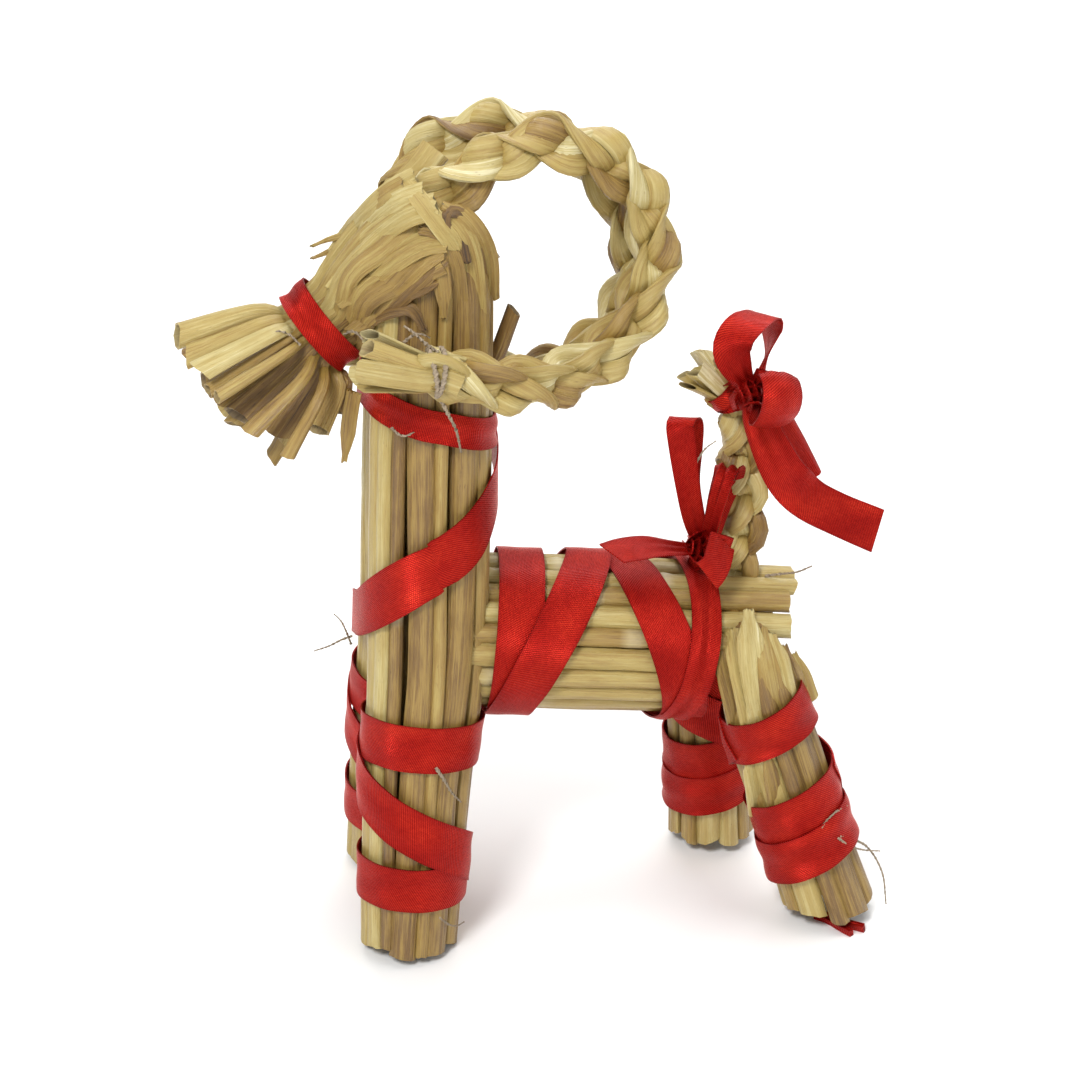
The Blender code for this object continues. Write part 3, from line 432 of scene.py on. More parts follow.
def thread(piece, points, diameter, rng, twist, tone=0.5, taper=0.0):
    """A thin fibre or a strand of twine through points; twist is the length of one turn of its strands."""
    path = smooth(points, 0.0009)
    sides = 8
    ahead = unit(np.gradient(path, axis=0))
    start = np.array((0.3, 0.5, 0.8))
    ups = [unit(start - ahead[0] * ahead[0].dot(start))]
    for direction in ahead[1:]:
        carried = ups[-1] - direction * direction.dot(ups[-1])
        ups.append(unit(carried))
    ups = np.array(ups)
    side = np.cross(ups, ahead)
    along = distances(path)
    turn = along / twist * 2 * math.pi
    angles = 2 * math.pi * (np.arange(sides) + 0.5) / sides + turn[:, None]
    lobes = 1 + 0.22 * np.cos(2 * 2 * math.pi * np.arange(sides) / sides)
    half = diameter / 2 * (1 - taper * along / along[-1])
    reach = half[:, None] * lobes
    points = (
        path[:, None]
        + side[:, None] * (reach * np.cos(angles))[..., None]
        + ups[:, None] * (reach * np.sin(angles))[..., None]
    )
    lay = np.zeros(points.shape)
    lay[..., 0] = np.cos(angles - turn[:, None]) * diameter / 2 / MM
    lay[..., 1] = np.sin(angles - turn[:, None]) * diameter / 2 / MM
    lay[..., 2] = (along / MM + rng.uniform(0, 900))[:, None]
    tint = np.zeros(points.shape)
    tint[..., 0] = tone
    piece.add(points, ring_faces(len(path), sides), lay, tint)


# Materials


class Look:
    """A material, with short ways to make its nodes; a value is a number or another node's output."""

    def __init__(self, name):
        self.made = bpy.data.materials.new(name)
        self.made.use_nodes = True
        self.nodes, self.links = self.made.node_tree.nodes, self.made.node_tree.links
        self.shader = self.nodes["Principled BSDF"]

    def set(self, socket, value):
        if isinstance(value, (int, float)):
            socket.default_value = value
        elif isinstance(value, tuple):
            socket.default_value = (*value, 1)
        elif value is not None:
            self.links.new(value, socket)

    def attribute(self, name):
        made = self.nodes.new("ShaderNodeAttribute")
        made.attribute_name = name
        return made.outputs["Vector"]

    def split(self, vector):
        made = self.nodes.new("ShaderNodeSeparateXYZ")
        self.links.new(vector, made.inputs[0])
        return made.outputs["X"], made.outputs["Y"], made.outputs["Z"]

    def noise(self, vector, stretch, scale, detail=3.0, roughness=0.6):
        stretched = self.nodes.new("ShaderNodeVectorMath")
        stretched.operation = "MULTIPLY"
        stretched.inputs[1].default_value = stretch
        self.links.new(vector, stretched.inputs[0])
        made = self.nodes.new("ShaderNodeTexNoise")
        made.inputs["Scale"].default_value = scale
        made.inputs["Detail"].default_value = detail
        made.inputs["Roughness"].default_value = roughness
        self.links.new(stretched.outputs[0], made.inputs["Vector"])
        return made.outputs["Fac"]

    def math(self, operation, first, second=None, third=None, clamp=False):
        made = self.nodes.new("ShaderNodeMath")
        made.operation = operation
        made.use_clamp = clamp
        for socket, value in zip(made.inputs, (first, second, third)):
            self.set(socket, value)
        return made.outputs[0]

    def add(self, value, factor, rest):
        return self.math("MULTIPLY_ADD", value, factor, rest)

    def blend(self, factor, first, second, mode="MIX"):
        made = self.nodes.new("ShaderNodeMix")
        made.data_type = "RGBA"
        made.blend_type = mode
        for socket, value in ((0, factor), (6, first), (7, second)):
            self.set(made.inputs[socket], value)
        return made.outputs[2]

    def ramp(self, level, stops):
        made = self.nodes.new("ShaderNodeValToRGB")
        made.color_ramp.interpolation = "EASE"
        first, last = made.color_ramp.elements
        first.position, first.color = stops[0][0], (*stops[0][1], 1)
        last.position, last.color = stops[-1][0], (*stops[-1][1], 1)
        for position, colour in stops[1:-1]:
            made.color_ramp.elements.new(position).color = (*colour, 1)
        self.links.new(level, made.inputs["Fac"])
        return made.outputs["Color"]

    def bump(self, height, strength, distance):
        made = self.nodes.new("ShaderNodeBump")
        made.inputs["Strength"].default_value = strength
        made.inputs["Distance"].default_value = distance
        self.links.new(height, made.inputs["Height"])
        self.links.new(made.outputs["Normal"], self.shader.inputs["Normal"])

    def shade(self, **sockets):
        """Sets the shader's sockets, whose names are given with _ for each space."""
        for name, value in sockets.items():
            self.set(self.shader.inputs[name.replace("_", " ")], value)


def straw_material():
    look = Look("straw_look")
    lay = look.attribute("lay")
    # tone and joint are the straw's own colour; the third channel marks painted shade inside the hollow cut
    # ends.
    tone, joint, inside = look.split(look.attribute("tint"))
    fine = look.noise(lay, (1.0, 1.0, 0.030), 4.2, 4.0, 0.7)
    broad = look.noise(lay, (1.0, 1.0, 0.012), 1.25, 2.0, 0.55)
    blotch = look.noise(lay, (0.35, 0.35, 0.10), 1.0)
    specks = look.noise(lay, (1.0, 1.0, 0.28), 2.6, 2.0, 0.5)
    level = look.add(fine, 0.62, tone)
    level = look.add(broad, 0.50, level)
    level = look.add(blotch, 0.44, level)
    level = look.math("SUBTRACT", level, 0.78)
    stops = [
        (0.0, (0.055, 0.026, 0.007)),
        (0.20, (0.190, 0.100, 0.022)),
        (0.42, (0.350, 0.218, 0.050)),
        (0.62, (0.465, 0.340, 0.100)),
        (0.82, (0.575, 0.470, 0.190)),
        (1.0, (0.790, 0.715, 0.430)),
    ]
    colour = look.ramp(level, stops)
    dark = look.ramp(specks, [(0.0, (1, 1, 1)), (0.66, (1, 1, 1)), (0.78, (0.42, 0.30, 0.18))])
    colour = look.blend(0.55, colour, dark, "MULTIPLY")
    colour = look.blend(look.math("MULTIPLY", joint, 0.55, clamp=True), colour, (0.80, 0.74, 0.50))
    # Painted shade: inside the hollow cut ends the colour goes to near-black.
    colour = look.blend(look.math("MULTIPLY", inside, 0.93, clamp=True), colour, (0.045, 0.024, 0.010))
    rough = look.add(inside, 0.35, look.add(fine, 0.34, 0.20))
    look.shade(Base_Color=colour, Roughness=rough, Specular_IOR_Level=0.70)
    look.bump(look.add(broad, 0.7, fine), 0.80, 0.00040)
    return look.made


def ribbon_material():
    look = Look("red_satin_look")
    lay = look.attribute("lay")
    across, along, edge = look.split(lay)
    # Weft lines slant across the ribbon, and the warp breaks them into short floats.
    slant = look.add(across, 0.62, along)
    twill = look.math("SINE", look.math("MULTIPLY", slant, 2 * math.pi / 0.46))
    warp = look.math("SINE", look.math("MULTIPLY", across, 2 * math.pi / 0.30))
    weave = look.add(warp, 0.5, twill)
    grain = look.noise(lay, (1.0, 0.25, 0.0), 3.0)
    cloud = look.noise(lay, (0.18, 0.10, 0.0), 1.0, 2.0, 0.5)
    selvedge = look.math("POWER", look.math("ABSOLUTE", edge), 14.0)
    level = look.add(weave, 0.15, look.add(cloud, 0.5, 0.05))
    level = look.add(grain, 0.35, level)
    level = look.add(selvedge, -0.20, level)
    stops = [(0.0, (0.110, 0.001, 0.002)), (0.45, (0.330, 0.006, 0.005)), (1.0, (0.760, 0.055, 0.022))]
    rough = look.add(weave, 0.035, look.add(grain, 0.12, 0.23))
    look.shade(Base_Color=look.ramp(level, stops), Roughness=rough, Metallic=0.45)
    look.shade(Specular_IOR_Level=0.40, Specular_Tint=(1.0, 0.30, 0.20))
    look.bump(look.add(grain, 0.8, weave), 0.50, 0.00010)
    return look.made


def twine_material():
    look = Look("twine_look")
    lay = look.attribute("lay")
    tone, _, _ = look.split(look.attribute("tint"))
    fibres = look.noise(lay, (2.0, 2.0, 0.4), 4.0, 3.0, 0.7)
    cloud = look.noise(lay, (0.3, 0.3, 0.2), 1.0, 2.0, 0.5)
    level = look.add(cloud, 0.5, look.math("MULTIPLY", fibres, 0.55))
    level = look.add(tone, 0.6, look.math("SUBTRACT", level, 0.30))
    stops = [(0.0, (0.130, 0.085, 0.050)), (0.5, (0.370, 0.290, 0.200)), (1.0, (0.640, 0.560, 0.430))]
    look.shade(Base_Color=look.ramp(level, stops), Roughness=0.85)
    look.bump(fibres, 0.7, 0.00015)
    return look.made


# Straws and leaves that are placed by the photograph


def placed_straw(piece, points, width, rng, **more):
    """A straw through points, with its broad side to the near side."""
    path = smooth(points, 0.0018)
    straw(piece, path, np.repeat(unit(NEAR_SIDE)[None], len(path), axis=0), width, rng, **more)


def resting(mark, spines, lift):
    """The point of a mark's line of sight that lies lift off the nearest bundle, or passes it closest."""
    u, v, y = mark
    points = np.array([seen(u, v, y + more) for more in np.arange(-9.0, 9.0, 0.2)])
    rows = np.arange(len(points))
    found = []
    for spine in spines:
        centre, ahead, side, up, wide, high = spine.frame(np.arange(0, spine.length, 0.0012))
        off = points[:, None] - centre[None]
        near = np.argmin(np.linalg.norm(off, axis=2), axis=1)
        off = off[rows, near]
        across = (off * side[near]).sum(axis=1) / (wide[near] + lift)
        over = (off * up[near]).sum(axis=1) / (high[near] + lift)
        past = (off * ahead[near]).sum(axis=1) / wide[near]
        reach = across**2 + over**2 + past**2
        inside = np.flatnonzero(reach < 1)
        found.append((0, inside[0]) if len(inside) else (reach.min(), int(np.argmin(reach))))
    return points[min(found)[1]]


def placed_leaf(piece, marks, width, rng, spines, lifts, out=NEAR_SIDE, **more):
    """A leaf through marks of the photograph, laid on bundles; lifts, in millimetres, are for its
    start, middle and tip.
    """
    lifts = np.interp(np.linspace(0, 1, len(marks)), (0, 0.5, 1), lifts)
    path = smooth([resting(mark, spines, lift * MM) for mark, lift in zip(marks, lifts)], 0.0015)
    leaf(piece, path, np.repeat(unit(out)[None], len(path), axis=0), width, rng, **more)


# Straws of the muzzle's near side: a mark halfway and one at the end, width in millimetres, flatness, tone
MUZZLE_STRAWS = (
    ((255, 312, -5), (177, 336, -7), 5.2, 0.50, 0.62),
    ((262, 326, -8), (188, 357, -10), 4.8, 0.42, 0.55),
    ((270, 335, -10), (200, 371, -13), 4.6, 0.38, 0.78),
    ((275, 348, -10), (208, 391, -12), 3.2, 0.60, 0.40),
    ((282, 356, -12), (217, 397, -15), 2.9, 0.80, 0.48),
    ((292, 366, -7), (238, 416, -9), 6.2, 0.30, 0.24),
    ((302, 380, -12), (250, 432, -15), 3.7, 0.75, 0.42),
    ((312, 378, -6), (276, 430, -8), 6.4, 0.30, 0.26),
    ((322, 392, -12), (288, 456, -15), 3.1, 0.85, 0.40),
    ((336, 386, -6), (317, 430, -8), 5.2, 0.35, 0.44),
    ((346, 382, -5), (334, 412, -6), 3.6, 0.35, 0.20),
)

# Straws of the head's near side, from the muzzle's tie to the horns: marks, width, flatness, tone
HEAD_STRAWS = (
    (((328, 272, -2), (353, 238, -3), (386, 204, -4), (418, 172, -4), (436, 150, -3)), 6.4, 0.40, 0.62),
    (((338, 272, -6), (366, 240, -8), (398, 210, -8), (428, 182, -6)), 6.6, 0.38, 0.55),
    (((346, 276, -9), (378, 244, -11), (410, 216, -11), (436, 196, -9)), 6.4, 0.40, 0.66),
    (((352, 276, -11), (384, 250, -13), (412, 226, -14), (444, 208, -12)), 5.6, 0.40, 0.50),
    (((360, 290, -11), (392, 268, -13), (424, 246, -15), (452, 232, -14)), 5.4, 0.40, 0.46),
    (((366, 302, -12), (400, 280, -15), (440, 258, -17)), 6.6, 0.28, 0.36),
    (((366, 318, -10), (392, 300, -12), (420, 286, -13)), 5.6, 0.40, 0.40),
    (((366, 312, -6), (396, 306, -8)), 6.0, 0.40, 0.22),
)

# Torn and folded leaves over the head and the neck's top: marks, width, tone, length of the pointed tip
HEAD_LEAVES = (
    (((489, 300, -7), (487, 262, -10), (478, 236, -13), (462, 216, -13), (442, 205, -12)), 4.4, 0.44, 0.2),
    (((476, 322, -12), (472, 268, -15), (463, 238, -17), (448, 220, -16), (430, 214, -15)), 4.6, 0.56, 0.3),
    (((460, 336, -14), (457, 284, -17), (450, 254, -19), (438, 236, -18), (420, 230, -17)), 4.0, 0.36, 0.4),
    (((483, 286, -10), (476, 250, -13), (468, 228, -15), (456, 209, -13)), 2.6, 0.22, 0.6),
    (((466, 262, -18), (460, 240, -18), (446, 224, -17), (452, 208, -14), (466, 212, -12)), 2.2, 0.14, 0.6),
    (((470, 222, -15), (456, 212, -15), (444, 216, -16), (440, 228, -17)), 2.2, 0.12, 0.5),
    (((438, 247, -21), (418, 262, -20), (392, 288, -17), (366, 318, -13), (348, 332, -10)), 5.4, 0.40, 0.3),
    (((441, 255, -20), (422, 276, -19), (396, 300, -17), (374, 322, -14)), 4.2, 0.28, 0.4),
    (((436, 246, -21), (440, 268, -21), (443, 292, -20), (444, 318, -19)), 3.6, 0.36, 0.5),
    (((446, 240, -19), (420, 244, -18), (390, 262, -16), (360, 288, -12), (338, 306, -9)), 5.0, 0.54, 0.2),
    (((436, 206, -15), (408, 214, -15), (376, 236, -13), (350, 264, -11), (330, 288, -8)), 5.2, 0.66, 0.25),
    (((424, 192, -11), (398, 202, -12), (374, 220, -12), (354, 246, -11)), 4.4, 0.80, 0.4),
    (((404, 186, -8), (382, 200, -9), (358, 226, -9), (336, 254, -7)), 4.0, 0.50, 0.3),
    (((414, 176, -7), (392, 188, -8), (366, 210, -8), (342, 236, -6), (330, 252, -5)), 3.4, 0.70, 0.3),
    (((402, 178, -13), (420, 200, -16), (440, 226, -19), (458, 250, -21)), 3.6, 0.62, 0.1),
    (((392, 300, -16), (412, 290, -18), (432, 282, -19), (446, 276, -19)), 3.4, 0.20, 0.4),
    (((368, 318, -13), (392, 308, -16), (412, 310, -17), (424, 330, -18)), 3.6, 0.20, 0.5),
    (((386, 290, -16), (372, 312, -14), (362, 334, -12), (356, 352, -10)), 3.2, 0.30, 0.4),
    (((338, 272, -7), (348, 276, -9), (360, 280, -11), (372, 282, -13)), 2.2, 0.85, 0.4),
    (((352, 232, -7), (340, 236, -6), (326, 240, -5), (312, 246, -4)), 1.6, 0.55, 0.8),
    (((346, 244, -8), (332, 250, -6), (320, 255, -5), (312, 258, -4)), 1.6, 0.40, 0.8),
)


def under_tie(head_line, share, offsets, inward):
    """Points inside the muzzle's ribbon, at a share of the way from its top edge to its lower edge."""
    angle = math.radians(262 - 164 * share)
    reach = head_line.length - MUZZLE_LENGTH + np.array(offsets)
    return list(head_line.point(reach, np.full(len(reach), angle), -inward))


def on_near_side(angle):
    """Whether an angle round the head is one where the near side's own straws lie."""
    return 95 < math.degrees(angle) < 265


def head_piece(look, left, head_line):
    """The folded head: its straws come from the neck and the horns, pass the tie and spread in the muzzle."""
    piece = Piece("head_straws", look, "straw")
    rng = random.Random(81)
    tie = head_line.length - MUZZLE_LENGTH
    layers = ((1, 17, 0.0032, 0.0050), (0.55, 9, 0.0034, 0.0046), (0.12, 3, 0.0036, 0.0044))
    for share, count, low, high in layers:
        for i in range(count):
            angle = 2 * math.pi * (i + rng.uniform(0, 0.4)) / count
            if share == 1 and on_near_side(angle):
                continue
            width = rng.uniform(low, high)
            end = head_line.length + rng.uniform(-0.005, 0.001)
            lay_straw(
                piece, head_line, tie - 0.004, end, angle, width, rng, share=share,
                flat=rng.uniform(0.45, 0.9), tone=rng.uniform(0.25, 0.65), cut=0.4, ends=(0, 1), step=0.0025,
            )
    for i, (middle, end, width, flat, tone) in enumerate(MUZZLE_STRAWS):
        share = (i + 0.5) / len(MUZZLE_STRAWS)
        points = [seen(*end), seen(*middle)] + under_tie(head_line, share, (0.0040, 0, -0.0060), 0.0010)
        placed_straw(
            piece, points, width * MM, rng, flat=flat, tone=tone, ends=(1, 0), cut=0.35, dent=0.15, taper=0.6,
        )
    for i in range(18):
        angle = 2 * math.pi * (i + rng.uniform(0, 0.4)) / 18
        start, width = rng.uniform(-0.004, 0.002), rng.uniform(0.0036, 0.0058)
        lay_straw(
            piece, head_line, start, tie + 0.003, angle, width, rng,
            flat=rng.uniform(0.35, 0.6), tone=rng.uniform(0.3, 0.65), ends=(0, 0), step=0.002, drift=0.06,
            share=0.93 if on_near_side(angle) else 1,
        )
    # The core straws are real, but their darker tone is painted shade for the gaps between the outer straws.
    for i in range(8):
        angle = 2 * math.pi * i / 8
        lay_straw(
            piece, head_line, 0, tie + 0.003, angle, 0.0046, rng,
            share=0.5, tone=0.3, ends=(0, 0), step=0.004,
        )
    for i, (marks, width, flat, tone) in enumerate(HEAD_STRAWS):
        share = (i + 0.5) / len(HEAD_STRAWS)
        points = [seen(*mark) for mark in reversed(marks)]
        points += under_tie(head_line, share, (-0.0045, 0.0015), 0.0011)
        placed_straw(piece, points, width * MM, rng, flat=flat, tone=tone, ends=(0, 0), dent=0.2, taper=0.55)
    for i, (marks, width, tone, tip) in enumerate(HEAD_LEAVES):
        # The first four start inside the bundle
        lifts = (-1.8, 0.6, 0.5) if i < 4 else (0.4, 1.1, 0.8)
        placed_leaf(piece, marks, width * MM, rng, (left, head_line), lifts, tone=tone, tip=tip, arch=0.22)
    sliver = ((354, 392, -9), (350, 415, -9), (347, 440, -9), (344, 462, -9))
    placed_leaf(piece, sliver, 0.0030, rng, (left,), (0, 0.6, 0.9), tone=0.38, tip=0.4, arch=0.2)
    stub = [seen(*mark) for mark in ((488, 372, -5), (499, 350, -5), (507, 329, -5), (514, 310, -5))]
    placed_straw(piece, stub, 0.0032, rng, tone=0.22, flat=0.5, ends=(0, 1), cut=0.5, dent=0.3)
    return piece


def bow_loop(piece, marks, rng, **more):
    """A loop or an end of a bow through marks of (pixel u, pixel v, depth y, way out, open share)."""
    strap(piece, [(seen(u, v, y), unit(out), share) for u, v, y, out, share in marks], rng, **more)


# Spines, the same as in part.py


def front_half(side, foot_spread):
    top_x = FRONT_FOOT_X + NECK_LEAN
    split_x = FRONT_FOOT_X + NECK_LEAN * 0.62
    knee = (FRONT_FOOT_X + split_x) / 2, side * (foot_spread + SPLIT_HALF_SPREAD) / 2
    middle = (LEG_SPLIT_HEIGHT + NECK_HEIGHT) / 2
    stations = [
        (FRONT_FOOT_X, side * foot_spread, 0, FRONT_FOOT_RADIUS, FRONT_FOOT_RADIUS),
        (*knee, LEG_SPLIT_HEIGHT * 0.55, FRONT_LEG_RADIUS, FRONT_LEG_RADIUS),
        (split_x, side * SPLIT_HALF_SPREAD, LEG_SPLIT_HEIGHT, NECK_HALF_DEPTH, FRONT_LEG_RADIUS * 0.95),
        (top_x - NECK_LEAN * 0.2, side * NECK_HALF_SPREAD, middle, NECK_HALF_DEPTH, NECK_HALF_WIDTH),
        (top_x, side * NECK_HALF_SPREAD, NECK_HEIGHT, NECK_HALF_DEPTH * 0.9, NECK_HALF_WIDTH * 0.95),
    ]
    return Spine(stations, (1, 0, 0))


def whole_neck(left, right):
    stations = []
    for s in np.linspace(0, left.length, 8):
        centre, _, _, _, wide, high = (row[0] for row in left.frame(s))
        other, _, _, _, _, other_high = (row[0] for row in right.frame(s))
        spread = (abs(centre[1] - other[1]) + high + other_high) / 2
        stations.append((*(centre + other) / 2, wide * 1.05, spread))
    return Spine(stations, (1, 0, 0), 0.8)


def head_spine():
    slope = math.radians(38)
    ahead = Vector((-math.cos(slope), 0, -math.sin(slope)))
    tie = Vector((-0.0425, 0, 0.1314))
    end = tie + ahead * MUZZLE_LENGTH
    back = Vector((FRONT_FOOT_X + NECK_LEAN + 0.0050, 0, NECK_HEIGHT - 0.0040))
    halfway = back.lerp(tie, 0.5)
    before, after = tie - ahead * RIBBON_WIDTH * 0.55, tie + ahead * RIBBON_WIDTH * 0.55
    back_wide, back_high = 0.0150, 0.0110
    stations = [
        (*back, back_wide, back_high),
        (*halfway, (back_wide + MUZZLE_TIE_RADIUS) / 2, (back_high + MUZZLE_TIE_RADIUS) / 2),
        (*before, MUZZLE_TIE_RADIUS, MUZZLE_TIE_RADIUS),
        (*after, MUZZLE_TIE_RADIUS, MUZZLE_TIE_RADIUS),
        (*end, 0.0140, 0.0180),
    ]
    return Spine(stations, (0, 1, 0))


def horn_spine(side, ring, neck):
    ring_x, ring_z, radius, root_angle, root_slope = ring
    bottom = ring_z - radius
    ribbon = 3 * CLEARANCE + RIBBON_THICKNESS + RIBBON_LAYER
    beside = neck.frame(bottom)[5][0] / math.cos(math.pi / 12) + ribbon + BRAID_RADIUS
    between = BRAID_RADIUS + CLEARANCE
    root_out = 0.0080
    stations = []
    for i in range(10):
        share = i / 9
        angle = root_angle + (math.radians(-92) - root_angle) * share
        if share < 0.5:
            out = root_out + (between - root_out) * share * 2
        else:
            out = between + (beside * 0.8 - between) * (share * 2 - 1) ** 1.7
        x, z = ring_x + radius * math.cos(angle), ring_z + radius * math.sin(angle)
        stations.append((x, side * out, z, BRAID_RADIUS, BRAID_RADIUS))
    root = stations[0]
    back, down = HORN_ROOT_DEPTH * math.cos(root_slope), HORN_ROOT_DEPTH * math.sin(root_slope)
    stations.insert(0, (root[0] - back, root[1], root[2] - down, BRAID_RADIUS, BRAID_RADIUS))
    tie_x, rise, tie_radius, end_radius = -0.0240, 0.0052, 0.0038, 0.0062
    halfway = (stations[-1][0] + tie_x) / 2
    tied = side * (beside + TWINE_DIAMETER)
    stations += [
        (halfway, side * beside, bottom + rise * 0.3, BRAID_RADIUS, BRAID_RADIUS),
        (tie_x + 1.5 * TWINE_DIAMETER, tied, bottom + rise, tie_radius, tie_radius),
        (tie_x - 1.5 * TWINE_DIAMETER, tied, bottom + rise, tie_radius, tie_radius),
        (
            tie_x - HORN_TUFT_LENGTH, side * (beside + 0.0016), bottom + rise * 1.6,
            end_radius * 0.75, end_radius,
        ),
    ]
    return Spine(stations, (0, 1, 0))


def body_spine():
    rear = (BODY_FRONT_X + BODY_LENGTH, 0, BODY_FRONT_Z - BODY_FALL, BODY_RADIUS, BODY_RADIUS)
    return Spine([(BODY_FRONT_X, 0, BODY_FRONT_Z, BODY_RADIUS, BODY_RADIUS), rear], (0, 1, 0))


def crown_top(body):
    centre = body.frame(CROWN_X - BODY_FRONT_X)[0][0]
    return centre[2] + BODY_RADIUS - CROWN_DEPTH + CROWN_HALF_HEIGHT


def hind_spine(body):
    crown_z = crown_top(body) - CROWN_HALF_HEIGHT
    round_leg = (HIND_LEG_RADIUS, HIND_LEG_RADIUS)
    legs = []
    for foot in ((0.0612, -0.0196, 0.0020), (0.0432, 0.0165, 0.0006)):
        side = math.copysign(HIND_SHOULDER_SPREAD, foot[1])
        shoulder = Vector((CROWN_X + (foot[0] - CROWN_X) * 0.2, side, crown_z - HIND_LEG_RADIUS * 0.7))
        down = Vector(foot) - shoulder
        legs.append(
            [
                (*foot, HIND_FOOT_RADIUS, HIND_FOOT_RADIUS),
                (*(shoulder + down * 0.66), *round_leg),
                (*(shoulder + down * 0.3), *round_leg),
                (*shoulder, CROWN_HALF_LENGTH, HIND_LEG_RADIUS),
            ]
        )
    left, right = legs
    crown = (CROWN_X, 0, crown_z, CROWN_HALF_LENGTH, CROWN_HALF_HEIGHT)
    return Spine(left + [crown] + right[::-1], (1, 0, 0))


def tail_spine(body):
    root_z = crown_top(body) + CLEARANCE
    rise = TAIL_TIE_Z - root_z
    tip = TAIL_TUFT_LENGTH * math.sqrt(0.5)
    tied = TAIL_TIE_WIDTH * 0.36
    root_x, belly_x, tie_radius, end_radius = 0.0412, 0.0430, 0.0034, 0.0060
    stations = [
        (root_x, 0, root_z, TAIL_RADIUS, TAIL_RADIUS),
        (belly_x, 0, root_z + rise * 0.35, TAIL_RADIUS, TAIL_RADIUS),
        (belly_x - 0.0018 * 0.4, 0, root_z + rise * 0.7, TAIL_RADIUS, TAIL_RADIUS),
        (TAIL_TIE_X + tied, 0, TAIL_TIE_Z - tied, tie_radius, tie_radius),
        (TAIL_TIE_X - tied, 0, TAIL_TIE_Z + tied, tie_radius, tie_radius),
        (TAIL_TIE_X - tied - tip, 0, TAIL_TIE_Z + tied + tip, end_radius, end_radius),
    ]
    return Spine(stations, (0, 1, 0))


# Bundles


def lay_straw(
    piece, spine, start, end, angle, width, rng,
    share=1.0, drift=0.0, flat=0.85, step=0.0022, bend=None, **more,
):
    """One straw of a bundle, between two distances along its spine and at an angle round it."""
    count = max(3, round(abs(end - start) / step))
    s = np.linspace(start, end, count + 1)
    swing = angle + drift * np.sin((s - start) / 0.035 + rng.uniform(0, 6))
    path = spine.point(s, swing, -width * flat / 2, share)
    if bend is not None:
        path = bend(path, angle)
    straw(piece, path, spine.outward(s, swing), width, rng, flat=flat, **more)


def widths_round(girth, chosen, rng, low, high):
    """(angle, width) of the straws round a girth: the chosen widths first, then seeded ones."""
    widths = list(chosen)
    while sum(widths) < girth - 0.0018:
        widths.append(rng.uniform(low, high))
    scale = girth / sum(widths)
    made, at = [], 0.0
    for width in widths:
        width *= scale
        made.append((2 * math.pi * (at + width / 2) / girth, width))
        at += width
    return made


def bowed_top(path, angle):
    """The straws of the neck bow forward and together over their last stretch."""
    path = path.copy()
    near_top = np.clip((path[:, 2] - 0.1370) / 0.0180, 0, 1) ** 2
    path[:, 0] -= near_top * (0.0018 + 0.0040 * math.cos(angle))
    path[:, 1] *= 1 - 0.16 * near_top
    path[:, 2] -= near_top * 0.0015
    return path


def foot_start(spine, angle, width, from_end=False):
    """The distance along a leg where a straw at this angle first clears the ground."""
    s = np.arange(-0.004, 0.016, 0.0004)
    reach = spine.length - s if from_end else s
    clear = spine.point(reach, np.full(len(s), angle), -width / 2)[:, 2] > width * 0.42
    return reach[np.argmax(clear)]


def front_bundle(look, left, right):
    piece = Piece("front_straws", look, "straw", ["front_bundle"])
    for spine, side, seed in ((left, -1, 11), (right, 1, 12)):
        rng = random.Random(seed)
        girth = 2 * math.pi * (FRONT_LEG_RADIUS - 0.0019)
        chosen = (0.0058, 0.0042, 0.0028, 0.0052, 0.0026, 0.0060, 0.0038, 0.0028) if side < 0 else ()
        for angle, width in widths_round(girth, chosen, rng, 0.0027, 0.0060):
            turn = math.radians(165) + angle
            start = rng.uniform(0.0, 0.0026)
            lay_straw(
                piece, spine, start, spine.length - rng.uniform(0.0, 0.009), turn, width * 1.12, rng,
                drift=0.05, flat=rng.uniform(0.55, 0.95), tone=rng.uniform(0.26, 0.72), cut=0.15,
                joints=[rng.uniform(0.1, 0.9)] if rng.random() < 0.5 else (),
                dent=rng.choice((0, 0.12, 0.25, 0.4)), ends=(1, 0), bend=bowed_top,
            )
        # The core straws are real, but their darker tones are painted shade for the gaps between the outer
        # straws.
        for share, count in ((0.52, 6), (0.05, 1)):
            for i in range(count):
                turn = 2 * math.pi * (i + rng.uniform(0, 0.3)) / count
                start, width = rng.uniform(0, 0.002), rng.uniform(0.0042, 0.0052)
                lay_straw(
                    piece, spine, start, spine.length - 0.008, turn, width, rng, share=share,
                    tone=rng.uniform(0.2, 0.5), cut=0.1, step=0.006, ends=(1, 0), bend=bowed_top,
                )
    return piece


# Joints of the straws on the body's near side, as shares of their length, from the top one down
BODY_JOINTS = {0: (0.30, 0.78), 1: (0.62,), 2: (0.41,), 4: (0.55,), 6: (0.16,)}


